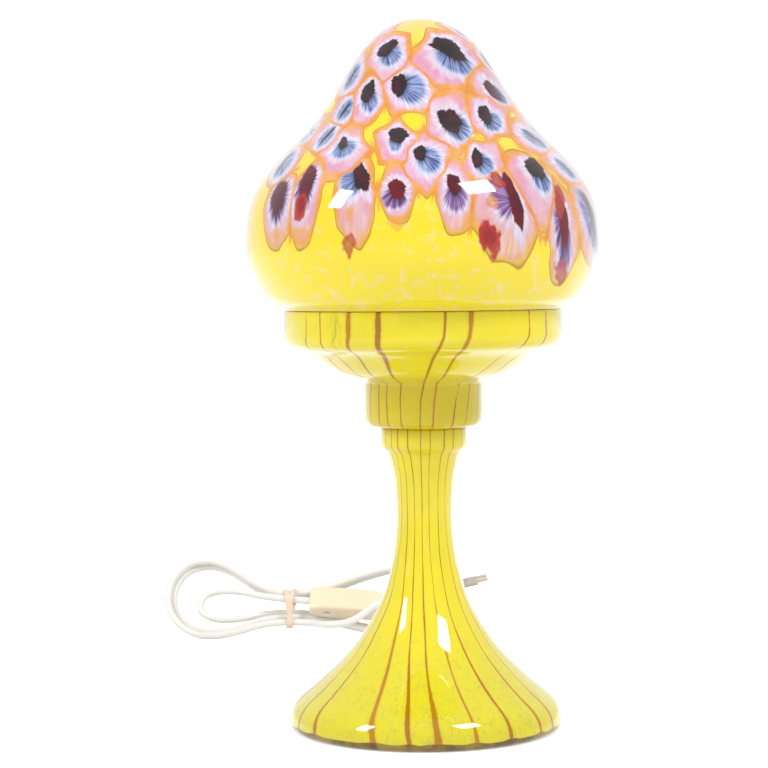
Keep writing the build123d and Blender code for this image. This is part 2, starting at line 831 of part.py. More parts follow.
# Elastic band, wound twice round the waist: two wraps that cross at the back and front
band_thickness = 1.3
band_width = 3.4
band_twist = 7.0
band_round = cord_radius + 2.5 * seat_gap
with BuildPart() as rubber_band:
    for turn_side in (1, -1):
        band_plane = Plane(
            origin=hank_point(turn_side * 0.45 * band_width, 0, 0),
            x_dir=hank_way(turn_side * math.tan(math.radians(band_twist)), 1),
            z_dir=hank_way(1, -turn_side * math.tan(math.radians(band_twist))),
        )
        places = [band_plane.to_local_coords(hank_point(0, *place)) for place in upper_waist]
        places += [band_plane.to_local_coords(hank_point(0, *place)) for place in lower_waist]
        for grow, mode in ((band_thickness, Mode.ADD), (0, Mode.SUBTRACT)):
            with BuildSketch(band_plane):
                with Locations(*[(place.X, place.Y) for place in places]):
                    Circle(band_round + grow)
                make_hull()
            overrun = 0 if mode == Mode.ADD else cut_overrun
            extrude(amount=band_width / 2 + overrun, both=True, mode=mode)
write(rubber_band, "rubber_band")

# In-line switch, in its own plane: along its length, across it, and up to the rocker
switch_centre = switch_end_point - switch_way * (switch_length / 2)
switch_plane = Plane(origin=switch_centre, x_dir=-switch_way, z_dir=hank_way(tilt_slope, 1))


def switch_outline(inset_by=0.0):
    """Corners of the switch seen from above: parallel sides, and ends that taper to the cord."""
    half = switch_length / 2 - inset_by
    side = switch_width / 2 - inset_by
    end = switch_end_width / 2 - inset_by
    shoulder = switch_length / 2 - switch_taper
    right = [(shoulder, -side), (half, -end), (half, end), (shoulder, side)]
    return [*right, *[(-along, across) for along, across in reversed(right)]]


inner_height = switch_height / 2 - switch_wall
pivot_height = inner_height - 1.4 * rocker_pin_radius
window_length = rocker_length + 2 * window_gap
window_width = rocker_width + 2 * window_gap
pin_reach = window_width / 2 + 0.7 * switch_wall
screw_place = switch_length / 2 - switch_taper - 2 * screw_head_radius
boss_radius = 2 * screw_body_radius
end_plane = Plane(origin=switch_centre, x_dir=switch_plane.y_dir, z_dir=switch_plane.x_dir)
side_plane = Plane(origin=switch_centre, x_dir=switch_plane.x_dir, z_dir=-switch_plane.y_dir)
cheek_middle = (window_width + switch_wall) / 2
for label, up in (("switch_top_shell", 1), ("switch_bottom_shell", -1)):
    with BuildPart() as shell:
        with BuildSketch(switch_plane):
            Polygon(*switch_outline(), align=None)
        extrude(amount=up * switch_height / 2)
        outer_face = shell.faces().sort_by(Axis(switch_centre, switch_plane.z_dir * up))[-1]
        fillet(outer_face.edges(), switch_edge)
        with BuildSketch(switch_plane):
            Polygon(*switch_outline(switch_wall), align=None)
        extrude(amount=up * inner_height, mode=Mode.SUBTRACT)
        with BuildSketch(end_plane):
            Circle(cord_radius + running_gap)
        extrude(amount=switch_length, both=True, mode=Mode.SUBTRACT)
        with BuildSketch(switch_plane):
            with Locations((screw_place, 0), (-screw_place, 0)):
                Circle(boss_radius)
        extrude(amount=up * inner_height)
        if up > 0:
            with BuildSketch(switch_plane):
                Rectangle(window_length, window_width)
            extrude(amount=switch_height, mode=Mode.SUBTRACT)
            for side in (1, -1):
                with BuildSketch(side_plane.offset(side * cheek_middle)):
                    with Locations((0, inner_height - rocker_pin_radius)):
                        Rectangle(5 * rocker_pin_radius, 4 * rocker_pin_radius)
                    with Locations((0, pivot_height)):
                        Circle(rocker_pin_radius + running_gap, mode=Mode.SUBTRACT)
                extrude(amount=switch_wall / 2, both=True)
        with BuildSketch(switch_plane):
            with Locations((screw_place, 0), (-screw_place, 0)):
                Circle(screw_body_radius + running_gap)
        hole_depth = 0.8 * inner_height if up > 0 else switch_height
        extrude(amount=up * hole_depth, mode=Mode.SUBTRACT)
    write(shell, label)

with BuildPart() as switch_screws:
    with BuildSketch(switch_plane.offset(-switch_height / 2)):
        with Locations((screw_place, 0), (-screw_place, 0)):
            Circle(screw_body_radius)
    extrude(amount=switch_height / 2 + 0.6 * inner_height)
    with BuildSketch(switch_plane.offset(-switch_height / 2)):
        with Locations((screw_place, 0), (-screw_place, 0)):
            Circle(screw_head_radius)
            Rectangle(0.3 * screw_body_radius, 2 * screw_head_radius, mode=Mode.SUBTRACT)
    extrude(amount=-0.5 * screw_head_radius)
write(switch_screws, "switch_screws")

# Two brass springs stand on the switch's floor, under the ends of the rocker's foot
spring_thickness = 0.8
spring_foot = 4.5
spring_place = 0.3 * rocker_length
spring_top = 0.3 * inner_height
with BuildPart() as switch_contacts:
    with BuildSketch(side_plane):
        for side in (1, -1):
            inner_edge = side * spring_place
            outer_edge = side * (spring_place + spring_thickness)
            Polygon(
                (inner_edge, spring_top),
                (outer_edge, spring_top),
                (outer_edge, spring_thickness - inner_height),
                (inner_edge + side * spring_foot, spring_thickness - inner_height),
                (inner_edge + side * spring_foot, -inner_height),
                (inner_edge, -inner_height),
                align=None,
            )
    extrude(amount=rocker_width / 4, both=True)
write(switch_contacts, "switch_contacts")

# Rocker on two short pins, at rest with one end down
tilt_sin = math.sin(math.radians(rocker_tilt))
tilt_cos = math.cos(math.radians(rocker_tilt))
rocker_plane = Plane(
    origin=switch_centre + switch_plane.z_dir * pivot_height,
    x_dir=switch_plane.x_dir * tilt_cos + switch_plane.z_dir * tilt_sin,
    z_dir=switch_plane.z_dir * tilt_cos - switch_plane.x_dir * tilt_sin,
)
rocker_side = Plane(origin=rocker_plane.origin, x_dir=rocker_plane.x_dir, z_dir=-rocker_plane.y_dir)
rocker_top = switch_height / 2 - pivot_height + rocker_rise
rocker_half = rocker_length / 2
with BuildPart() as switch_rocker:
    with BuildSketch(rocker_side):
        with BuildLine():
            Polyline(
                (-rocker_half, rocker_top),
                (-rocker_half, 0.5 * rocker_pin_radius),
                (-0.5 * rocker_half, -1.5 * rocker_pin_radius),
                (0.5 * rocker_half, -1.5 * rocker_pin_radius),
                (rocker_half, 0.5 * rocker_pin_radius),
                (rocker_half, rocker_top),
            )
            ThreePointArc(
                (rocker_half, rocker_top),
                (0, rocker_top - 0.6 * rocker_rise),
                (-rocker_half, rocker_top),
            )
        make_face()
    extrude(amount=rocker_width / 2, both=True)
    with BuildSketch(rocker_side):
        Circle(rocker_pin_radius)
    extrude(amount=pin_reach, both=True)
write(switch_rocker, "switch_rocker")
print("rocker pivot", [round(value, 3) for value in rocker_plane.origin])
print("rocker axis", [round(value, 5) for value in rocker_plane.y_dir])

# Flat plug: tapered body, strain relief with rings, two pins and their sleeves
relief_plane = Plane(origin=relief_end, x_dir=plug_way, z_dir=(0, -1, 0))
tail_place = relief_end + plug_way * relief_length
plug_normal = Vector(-plug_way.Z, 0, plug_way.X)
plug_plane = Plane(origin=tail_place, x_dir=plug_way, z_dir=plug_normal)
plug_shares = [(0.0, 0.4), (0.45, 1.0), (0.8, 1.0), (1.0, 0.74)]
with BuildPart() as plug_body:
    with BuildSketch(plug_plane):
        edge_points = [(along * plug_length, out * plug_width / 2) for along, out in plug_shares]
        Polygon(*edge_points, *[(along, -out) for along, out in reversed(edge_points)], align=None)
    extrude(amount=plug_thickness / 2, both=True)
    fillet(plug_body.edges().filter_by(plug_plane), plug_edge)
    nose_plane = Plane(
        origin=tail_place + plug_way * plug_length, x_dir=(0, 1, 0), z_dir=plug_way
    )
    with BuildSketch(nose_plane):
        with Locations((pin_spacing / 2, 0), (-pin_spacing / 2, 0)):
            Circle(pin_core_radius + running_gap)
    extrude(amount=-pin_embed, mode=Mode.SUBTRACT)
write(plug_body, "plug_body")

with BuildPart() as plug_pins:
    with BuildSketch(nose_plane.offset(-pin_embed)):
        with Locations((pin_spacing / 2, 0), (-pin_spacing / 2, 0)):
            Circle(pin_core_radius)
    extrude(amount=pin_embed + pin_sleeve_length)
    with BuildSketch(nose_plane.offset(pin_sleeve_length)):
        with Locations((pin_spacing / 2, 0), (-pin_spacing / 2, 0)):
            Circle(pin_radius)
    extrude(amount=pin_length - pin_sleeve_length)
    tips = plug_pins.faces().filter_by(nose_plane).group_by(Axis(relief_end, plug_way))[-1]
    fillet(tips.edges(), 0.6 * pin_radius)
write(plug_pins, "plug_pins")

with BuildPart() as pin_sleeves:
    with BuildSketch(nose_plane):
        with Locations((pin_spacing / 2, 0), (-pin_spacing / 2, 0)):
            Circle(pin_sleeve_radius)
            Circle(pin_core_radius + running_gap, mode=Mode.SUBTRACT)
    extrude(amount=pin_sleeve_length)
write(pin_sleeves, "pin_sleeves")

ring_count = 4
with BuildPart() as plug_relief:
    with BuildSketch(relief_plane):
        with BuildLine():
            ring_pitch = relief_length / (ring_count + 0.5)
            profile = [(0, cord_radius + running_gap), (0, relief_end_radius)]
            for turn in range(ring_count):
                swell = relief_end_radius + (relief_root_radius - relief_end_radius) * turn / ring_count
                profile.append(((turn + 0.6) * ring_pitch, swell))
                profile.append(((turn + 0.6) * ring_pitch, swell - 0.2 * cord_radius))
                profile.append(((turn + 1.0) * ring_pitch, swell - 0.2 * cord_radius))
                profile.append(((turn + 1.0) * ring_pitch, swell + 0.1 * cord_radius))
            profile.append((relief_length, relief_root_radius))
            profile.append((relief_length, 0))
            profile.append((switch_grip, 0))
            profile.append((switch_grip, cord_radius + running_gap))
            Polyline(*profile, close=True)
        make_face()
    revolve(axis=Axis(relief_end, plug_way))
write(plug_relief, "plug_relief")

# Free stretch of the cord, from the grommet behind the foot over the table to the switch
switch_far_end = switch_end_point - switch_way * switch_length
lead_straight = 30.0
lead_route = [
    (0, grommet_flange_start, cord_hole_height),
    (0, 118, 11),
    (4, 152, 2.95),
    (10, 196, 2.9),
    (22, 238, 2.9),
    (38, 274, 2.9),
    (50, 310, 3.4),
    (41, 346, 12.5),
    switch_far_end - switch_way * lead_straight,
    switch_far_end + switch_way * switch_grip,
]


def bend_radii(points, share, most):
    """One radius for each inner corner, from the shorter run beside it and how far the cord turns."""
    radii = []
    for before, corner, after in zip(points, points[1:], points[2:]):
        incoming = Vector(corner) - Vector(before)
        outgoing = Vector(after) - Vector(corner)
        half_turn = math.radians(incoming.get_angle(outgoing)) / 2
        shorter = min(incoming.length, outgoing.length)
        radii.append(min(share * shorter / math.tan(half_turn), most))
    return radii


lead_radii = bend_radii(lead_route, 0.45, 90)
with BuildPart() as cord_lead:
    with BuildLine() as lead_path:
        FilletPolyline(*lead_route, radius=lead_radii)
    with BuildSketch(Plane(origin=lead_path.line @ 0, z_dir=lead_path.line % 0)):
        Circle(cord_radius)
    sweep(path=lead_path.line)
write(cord_lead, "cord_lead")
lead_wire = lead_path.wires()[0]
lead_share = cord_lead.part.volume / (math.pi * cord_radius**2 * lead_wire.length)
print("lead length", round(lead_wire.length, 1), "volume share", round(lead_share, 5))
print("lead radii", [round(radius, 1) for radius in lead_radii])
print("lead lowest", round(cord_lead.part.bounding_box().min.Z, 3))
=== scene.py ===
# %% [markdown]
# # A table lamp of blown glass
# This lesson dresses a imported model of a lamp. The frame comes first: it brings in every solid of the lamp
# at its real place and size, in metres. Nothing here moves those solids. New meshes stand for them only
# where the eye wants more than the solid has, such as the glass with its threads and flowers and the soft
# cord.

import math
import random

import bmesh
import bpy
import numpy as np
from mathutils import Matrix, Vector


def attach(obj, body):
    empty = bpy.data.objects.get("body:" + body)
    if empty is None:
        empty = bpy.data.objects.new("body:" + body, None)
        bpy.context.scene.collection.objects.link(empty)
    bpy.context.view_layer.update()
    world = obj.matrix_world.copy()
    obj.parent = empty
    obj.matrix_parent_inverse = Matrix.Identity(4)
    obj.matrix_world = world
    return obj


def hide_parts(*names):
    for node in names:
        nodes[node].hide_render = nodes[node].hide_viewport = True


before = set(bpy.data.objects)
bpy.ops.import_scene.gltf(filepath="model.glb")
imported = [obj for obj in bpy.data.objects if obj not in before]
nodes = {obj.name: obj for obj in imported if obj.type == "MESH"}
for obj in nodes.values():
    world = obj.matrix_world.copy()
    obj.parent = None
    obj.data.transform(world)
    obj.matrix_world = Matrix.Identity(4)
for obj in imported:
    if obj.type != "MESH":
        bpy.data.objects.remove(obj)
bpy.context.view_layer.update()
scene = bpy.context.scene
random.seed(7)

# %% [markdown]
# ## Camera
# The photograph was taken from a little over half the lamp's height, with a long lens, and the camera looks
# slightly down. The ellipses of the foot and of the cup's rim give that height and distance. The lamp
# stands a little right of the middle, so the camera stands a little left of the axis, and a small roll
# leans it left.

# %% Camera
camera_place = (-0.0243, -1.429, 0.2825)
camera_dip, camera_roll = math.radians(2.78), math.radians(0.5)
camera_data = bpy.data.cameras.new("camera")
camera_data.sensor_width = 36.0
camera_data.lens = 108.6
camera = bpy.data.objects.new("camera", camera_data)
scene.collection.objects.link(camera)
camera.location = camera_place
pitch = Matrix.Rotation(math.radians(90) - camera_dip, 3, "X")
roll = Matrix.Rotation(-camera_roll, 3, "Z")
camera.rotation_euler = (pitch @ roll).to_euler()
scene.camera = camera
print("camera at", tuple(round(value, 3) for value in camera.location))

# %% [markdown]
# ## Floor, world and lamps
# Glass shows its form by what it mirrors. The room is a plain white one, and two square soft boxes stand in
# front, left and right, because the photograph shows one small four-cornered highlight on each side of the
# shade and the same pair on the foot. Each box is a lamp for the light, and a bright face that only mirrors
# show, so that the glint can be white without burning out the yellow. The floor is white to the camera and
# to mirrors, and still takes a soft shadow.


# %% Helpers for materials
class Net:
    """One node tree, with short names for the nodes that the materials use most."""

    def __init__(self, tree):
        self.tree = tree

    def fill(self, node, sockets):
        """Sets a node's sockets to values, or links them to other sockets."""
        for socket, source in sockets.items():
            if isinstance(source, bpy.types.NodeSocket):
                self.tree.links.new(source, node.inputs[socket])
            else:
                node.inputs[socket].default_value = source
        return node

    def put(self, kind, sockets=None, **properties):
        """Adds a node with its properties and sockets."""
        node = self.tree.nodes.new(kind)
        for key, value in properties.items():
            setattr(node, key, value)
        return self.fill(node, sockets or {})

    def math(self, operation, *sources, clamp=False):
        """A Math node on two or three values or sockets."""
        sockets = dict(enumerate(sources))
        return self.put("ShaderNodeMath", sockets, operation=operation, use_clamp=clamp).outputs[0]

    def minus(self, first, second, clamp=False):
        """The first value less the second."""
        return self.math("SUBTRACT", first, second, clamp=clamp)

    def both(self, first, second):
        """The product of two values, such as two masks."""
        return self.math("MULTIPLY", first, second)

    def scaled(self, value, factor, offset, clamp=False):
        """A value times a factor, with an offset added."""
        return self.math("MULTIPLY_ADD", value, factor, offset, clamp=clamp)

    def ramp(self, value, low, high):
        """A smooth step from 0 at low to 1 at high."""
        sockets = {"Value": value, "From Min": low, "From Max": high}
        return self.put("ShaderNodeMapRange", sockets, interpolation_type="SMOOTHSTEP").outputs["Result"]

    def fall(self, value, low, high):
        """A smooth step from 1 at low to 0 at high."""
        return self.minus(1.0, self.ramp(value, low, high))

    def mix(self, factor, first, second):
        """The first colour where the factor is 0, the second where it is 1."""
        colours = [(*source, 1.0) if isinstance(source, tuple) else source for source in (first, second)]
        sockets = {0: factor, 6: colours[0], 7: colours[1]}
        return self.put("ShaderNodeMix", sockets, data_type="RGBA").outputs[2]

    def layers(self, ground, *rows):
        """A ground with one paint after another laid over it, each where its mask is 1."""
        for mask, paint in rows:
            ground = self.mix(mask, ground, paint)
        return ground

    def vector(self, operation, source, sockets):
        """A Vector Math node on a vector."""
        return self.put("ShaderNodeVectorMath", {0: source} | sockets, operation=operation).outputs["Vector"]

    def place(self):
        """The place in the part's own space, in metres."""
        return self.put("ShaderNodeTexCoord").outputs["Object"]

    def height(self, place):
        """How high a place lies."""
        return self.put("ShaderNodeSeparateXYZ", {"Vector": place}).outputs["Z"]

    def noise(self, scale, detail=3.0, roughness=0.55, vector=None, distortion=0.0):
        """A noise value from 0 to 1, in the part's own space unless another place is given."""
        sockets = {"Vector": self.place() if vector is None else vector, "Scale": scale, "Detail": detail}
        sockets |= {"Roughness": roughness, "Distortion": distortion}
        return self.put("ShaderNodeTexNoise", sockets).outputs["Fac"]

    def stored(self, name):
        """A number kept on the mesh's vertices."""
        return self.put("ShaderNodeAttribute", attribute_name=name).outputs["Fac"]

    def bump(self, shader, height, strength, distance):
        """Feeds a height to the shader's normal."""
        sockets = {"Height": height, "Strength": strength, "Distance": distance}
        bump = self.put("ShaderNodeBump", sockets)
        self.fill(shader, {"Normal": bump.outputs["Normal"]})

    def looked_at(self):
        """1 for rays from the camera, a mirror or through glass, and 0 for the light that falls on things."""
        rays = self.put("ShaderNodeLightPath").outputs
        seen = self.math("MAXIMUM", rays["Is Camera Ray"], rays["Is Glossy Ray"])
        return self.math("MAXIMUM", seen, rays["Is Transmission Ray"])


def new_material(name):
    """An empty material, its net of nodes and its Principled shader."""
    material = bpy.data.materials.new(name)
    material.use_nodes = True
    return material, Net(material.node_tree), material.node_tree.nodes["Principled BSDF"]


def new_group(name, inputs, outputs):
    """A node group with the given sockets, its net, and the sockets as seen from inside."""
    group = bpy.data.node_groups.new(name, "ShaderNodeTree")
    for way, labels in (("INPUT", inputs), ("OUTPUT", outputs)):
        for label in labels:
            kind = "NodeSocketColor" if label == "Colour" else "NodeSocketFloat"
            socket = group.interface.new_socket(label, in_out=way, socket_type=kind)
            if way == "INPUT":
                socket.default_value = inputs[label]
    net = Net(group)
    return group, net, net.put("NodeGroupInput").outputs, net.put("NodeGroupOutput")


plain_white = (1, 1, 1, 1)
print("helpers ready")

# %% Floor, world and lamps
floor_reach = 9.0
floor_glow = 0.62
world_light, world_look = 0.74, 1.0
floor_mesh = bpy.data.meshes.new("floor")
corners = [(-1, -1), (1, -1), (1, 1), (-1, 1)]
floor_mesh.from_pydata([(x * floor_reach, y * floor_reach, 0) for x, y in corners], [], [(0, 1, 2, 3)])
floor = bpy.data.objects.new("floor", floor_mesh)
scene.collection.objects.link(floor)
floor_material, net, shader = new_material("floor_white")
look = {"Base Color": (0.82, 0.82, 0.82, 1), "Roughness": 0.9, "Specular IOR Level": 0.0}
look |= {"Emission Color": plain_white, "Emission Strength": net.both(net.looked_at(), floor_glow)}
net.fill(shader, look)
floor.data.materials.append(floor_material)

world = bpy.data.worlds.new("world")
scene.world = world
world.use_nodes = True
net = Net(world.node_tree)
sockets = {"Value": net.looked_at(), "To Min": world_light, "To Max": world_look}
strength = net.put("ShaderNodeMapRange", sockets)
net.fill(world.node_tree.nodes["Background"], {"Color": plain_white, "Strength": strength.outputs["Result"]})

lamp_middle = Vector((0, 0, 0.25))
box_glow = 46.0
box_material = bpy.data.materials.new("box_face")
box_material.use_nodes = True
net = Net(box_material.node_tree)
net.tree.nodes.remove(net.tree.nodes["Principled BSDF"])
glow = net.put("ShaderNodeEmission", {"Color": plain_white, "Strength": box_glow})
net.fill(net.tree.nodes["Material Output"], {"Surface": glow.outputs["Emission"]})
for name, place, size, power in (
    ("box_left", (-1.895, -1.046, 1.68), (0.41, 0.90), 20.0),
    ("box_right", (1.23, -1.19, 2.15), (0.76, 0.62), 26.0),
):
    turn = (Vector(place) - lamp_middle).to_track_quat("Z", "Y").to_euler()
    light_data = bpy.data.lights.new(name, "AREA")
    light_data.shape = "RECTANGLE"
    light_data.size, light_data.size_y = size
    light_data.energy = power
    light = bpy.data.objects.new(name, light_data)
    wide, tall = size[0] / 2, size[1] / 2
    face_mesh = bpy.data.meshes.new(name + "_face")
    face_mesh.from_pydata([(x * wide, y * tall, 0) for x, y in corners], [], [(0, 1, 2, 3)])
    face = bpy.data.objects.new(name + "_face", face_mesh)
    face.data.materials.append(box_material)
    for item in (light, face):
        item.location = place
        item.rotation_euler = turn
        scene.collection.objects.link(item)
    light.visible_glossy = False
    face.visible_camera = face.visible_diffuse = face.visible_transmission = False
    face.visible_shadow = face.visible_volume_scatter = False

scene.view_settings.view_transform = "Standard"

# %% [markdown]
# ## The cord
# A lamp cord is a soft round cable, and most of its length here lies in a hank with an elastic band round
# its waist. A NURBS spline suits it: it bends smoothly however few points it has. Its points are the
# corners of the cord's route, the free stretch's few corners and, for the hank, twelve and more points for
# each turn. The hank leans back on its own loops, so its points are written in the hank's plane and put in
# place by one matrix.

# %% Hank's plane
millimetre = 0.001
lean = math.radians(55.0)
hank_place = Vector((-99.0, 372.0, 19.4))
along_way = Vector((1, 0, 0))
up_way = Vector((0, math.cos(lean), math.sin(lean)))
out_way = Vector((0, -math.sin(lean), math.cos(lean)))


def hank_point(along, up, out):
    """A point of the hank in millimetres, from its own plane to the lamp's frame."""
    return hank_place + along_way * along + up_way * up + out_way * out


print("hank stands at", tuple(hank_place))

# %% Hank's corners
layer_step = 6.4
waist_row = 10.0
waist_half = 6.0
waist_reach = 11.0
loop_reach = 15.0
switch_start = 16.0
switch_length = 56.0
switch_grip = 4.0
tilt_slope = math.tan(math.radians(5.0))
upper_waist = [(-1.0, 18.6), (waist_row, 0), (waist_row, layer_step)]
lower_waist = [(-0.31 * waist_row, 0), (-waist_row, layer_step), (-1.56 * waist_row, 1.4 * layer_step)]
run_share = 0.24
# each loop's end, top and bottom in the hank's plane, and how far out it lies
left_loops = [
    ((-70, 2), (-53, 14.5), (-52, -10.5), 3.6),
    ((-91, 9), (-66, 36), (-60, -21), 3.2),
    ((-95, 7), (-68, 38), (-62, -27), 9.6),
]
right_loops = [((117, 6), (90, 34), (86, -20), 0.0), ((113, 4), (86, 32), (82, -24), 6.4)]


def run_corners(start, start_way, end, end_way, first_reach, last_reach):
    """The two corners of a run that leaves one waist or loop and arrives at the next."""
    most = run_share * (end - start).length
    return [start + start_way * min(first_reach, most), end - end_way * min(last_reach, most)]


def quarter_corners(start, start_way, end, end_way):
    """The two corners of a quarter turn whose ends and ways are given."""
    chord = end - start
    ways = start_way + end_way
    spread = 2 * (1 - start_way.dot(end_way))
    along = chord.dot(ways)
    reach = (math.sqrt(along * along + spread * chord.dot(chord)) - along) / spread
    return [start + start_way * reach, end - end_way * reach]


def loop_corners(side, enter, enter_way, loop, leave):
    """One loop of the hank: a run, two quarter turns round its end, and a run back to the waist."""
    end, top, bottom, out = loop
    first, last = (top, bottom) if side < 0 else (bottom, top)
    outward, across, inward = along_way * side, up_way * side, along_way * -side
    first_point, end_point, last_point = (hank_point(*corner, out) for corner in (first, end, last))
    return [
        *run_corners(enter, enter_way, first_point, outward, waist_reach, loop_reach),
        *quarter_corners(first_point, outward, end_point, across),
        *quarter_corners(end_point, across, last_point, inward),
        *run_corners(last_point, inward, leave, inward, loop_reach, waist_reach),
    ]


switch_way = (along_way * -1 + up_way * tilt_slope).normalized()
switch_end = hank_point(switch_start, upper_waist[0][0] - switch_start * tilt_slope, upper_waist[0][1])
hank_corners = [switch_end - switch_way * switch_grip]
enter = hank_point(-waist_half, upper_waist[0][0] + waist_half * tilt_slope, upper_waist[0][1])
enter_way = switch_way
for turn, loop in enumerate(left_loops):
    lower = hank_point(-waist_half, *lower_waist[turn])
    hank_corners += loop_corners(-1, enter, enter_way, loop, lower)
    lower_right = hank_point(waist_half, *lower_waist[turn])
    if turn < len(right_loops):
        upper_right = hank_point(waist_half, *upper_waist[turn + 1])
        hank_corners += loop_corners(1, lower_right, along_way, right_loops[turn], upper_right)
        enter, enter_way = hank_point(-waist_half, *upper_waist[turn + 1]), along_way * -1
plug_rise = math.radians(12.0)
plug_way = Vector((math.cos(plug_rise), 0, math.sin(plug_rise)))
relief_end = hank_point(80, -8, 32)
strand_low = hank_point(38, -28, 30)
strand_way = (along_way + up_way * 0.05 + out_way * 0.15).normalized()
hank_corners += run_corners(lower_right, along_way, strand_low, strand_way, 9.0, waist_reach)
hank_corners += quarter_corners(strand_low, strand_way, relief_end, plug_way)
hank_corners.append(relief_end + plug_way * switch_grip)
print("hank has", len(hank_corners), "corners")

# %% Free stretch's corners
switch_far_end = switch_end - switch_way * switch_length
lead_points = [
    (0, 84, 11), (0, 118, 11), (4, 152, 2.95), (10, 196, 2.9),
    (22, 238, 2.9), (38, 274, 2.9), (50, 310, 3.4), (41, 346, 12.5),
]
lead_corners = [Vector(point) for point in lead_points]
lead_corners += [switch_far_end - switch_way * 30, switch_far_end + switch_way * switch_grip]
print("free stretch has", len(lead_corners), "corners")


# %% Cord pieces
cord_diameter = 5.4 * millimetre


def cord_curve(name, corners, spans=10):
    """A round cord on one smooth spline, in millimetres. Each point's radius is the cord's own."""
    data = bpy.data.curves.new(name, "CURVE")
    data.dimensions = "3D"
    data.bevel_depth = 1.0
    data.bevel_resolution = 6
    data.resolution_u = spans
    data.use_fill_caps = True
    spline = data.splines.new("NURBS")
    spline.points.add(len(corners) - 1)
    for point, corner in zip(spline.points, corners):
        point.co = (*(corner * millimetre), 1.0)
        point.radius = cord_diameter / 2
    spline.order_u = 3
    spline.use_endpoint_u = True
    piece = bpy.data.objects.new(name, data)
    scene.collection.objects.link(piece)
    return piece


cord_free = cord_curve("cord_free", lead_corners)
cord_loops = cord_curve("cord_loops", hank_corners)
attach(cord_free, "lamp")
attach(cord_loops, "lamp")
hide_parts("cord_lead")
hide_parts("cord_hank")
print("cord pieces:", cord_free.name, cord_loops.name)

# %% [markdown]
# ## Blown glass as lathe meshes
# The base and the shade were blown and turned, so both are round about the lamp's axis. A lathe mesh, which
# is one outline turned in many fine steps, gives a clean mirror surface. The outlines below are the solids'
# own: a few points joined by a smooth curve, with small arcs where fire has rounded a corner. Each vertex
# also stores where it lies in the pattern, and the material turns that into threads and flowers.


# %% Helpers for outlines
glass_wall = 4.0


def smooth_line(points, spacing=1.2):
    """Points along a smooth curve through the given points, in millimetres."""
    given = np.array(points, dtype=float)
    lengths = np.linalg.norm(np.diff(given, axis=0), axis=1)
    knots = np.concatenate([[0], np.cumsum(lengths)])
    count = len(given)
    system = np.eye(count)
    right = np.zeros_like(given)
    for row in range(1, count - 1):
        before, after = lengths[row - 1], lengths[row]
        system[row, row - 1 : row + 2] = before, 2 * (before + after), after
        slope_after = (given[row + 1] - given[row]) / after
        right[row] = 6 * (slope_after - (given[row] - given[row - 1]) / before)
    bends = np.linalg.solve(system, right)
    places = np.linspace(0, knots[-1], max(3, int(knots[-1] / spacing) + 1))
    spans = np.clip(np.searchsorted(knots, places, side="right") - 1, 0, count - 2)
    width = lengths[spans][:, None]
    low = (knots[spans + 1] - places)[:, None]
    high = (places - knots[spans])[:, None]
    first, second = bends[spans], bends[spans + 1]
    line = (first * low**3 + second * high**3) / (6 * width)
    line += (given[spans] / width - first * width / 6) * low
    line += (given[spans + 1] / width - second * width / 6) * high
    return [tuple(point) for point in line]


def rounded_line(corners, radii, spacing=1.2):
    """A run of straight lines whose inner corners are rounded, in millimetres."""
    line = [corners[0]]
    for before, corner, after, radius in zip(corners, corners[1:], corners[2:], radii):
        before, corner, after = (np.array(point, dtype=float) for point in (before, corner, after))
        incoming = (before - corner) / np.linalg.norm(before - corner)
        outgoing = (after - corner) / np.linalg.norm(after - corner)
        for share in np.linspace(0, 1, 7):
            start, end = corner + incoming * radius, corner + outgoing * radius
            line.append(tuple(start * (1 - share) ** 2 + 2 * corner * share * (1 - share) + end * share**2))
    line.append(corners[-1])
    dense = [line[0]]
    for start, end in zip(line, line[1:]):
        pieces = max(1, int(math.dist(start, end) / (3 * spacing)))
        for step in range(1, pieces + 1):
            share = step / pieces
            dense.append(tuple(a + (b - a) * share for a, b in zip(start, end)))
    return dense


def inside_of(line):
    """The outline one glass wall inside a line that runs upwards."""
    given = np.array(line)
    ways = np.gradient(given, axis=0)
    ways /= np.linalg.norm(ways, axis=1)[:, None]
    return [tuple(point) for point in given + np.stack([-ways[:, 1], ways[:, 0]], axis=1) * glass_wall]


def lathe(name, outline, columns):
    """A closed mesh from an outline of radius and height in millimetres, turned about the axis."""
    outline = np.array(outline) * millimetre
    turns = np.linspace(0, 2 * math.pi, columns, endpoint=False)
    radius, height = outline[:, :1], outline[:, 1:]
    heights = np.broadcast_to(height, (len(outline), columns))
    grid = np.stack([radius * np.cos(turns), radius * np.sin(turns), heights], axis=2)
    lower = np.arange(len(outline) * columns).reshape(-1, columns)
    upper = np.roll(lower, -1, axis=0)
    faces = [lower, np.roll(lower, -1, axis=1), np.roll(upper, -1, axis=1), upper]
    faces = np.stack(faces, axis=2).reshape(-1, 4)
    mesh = bpy.data.meshes.new(name)
    mesh.from_pydata(grid.reshape(-1, 3).tolist(), [], faces.tolist())
    bm = bmesh.new()
    bm.from_mesh(mesh)
    bmesh.ops.remove_doubles(bm, verts=bm.verts, dist=1e-6)
    bmesh.ops.recalc_face_normals(bm, faces=bm.faces)
    bm.to_mesh(mesh)
    bm.free()
    mesh.shade_smooth()
    piece = bpy.data.objects.new(name, mesh)
    scene.collection.objects.link(piece)
    print(name, "has", len(mesh.vertices), "vertices")
    return piece


def vertex_places(piece):
    """The piece's vertices as an array, in millimetres."""
    flat = np.empty(len(piece.data.vertices) * 3)
    piece.data.vertices.foreach_get("co", flat)
    return flat.reshape(-1, 3) / millimetre


def store(piece, name, values):
    """Keeps one number per vertex, for the material to read."""
    layer = piece.data.attributes.new(name, "FLOAT", "POINT")
    layer.data.foreach_set("value", np.ascontiguousarray(values, dtype=np.float32))


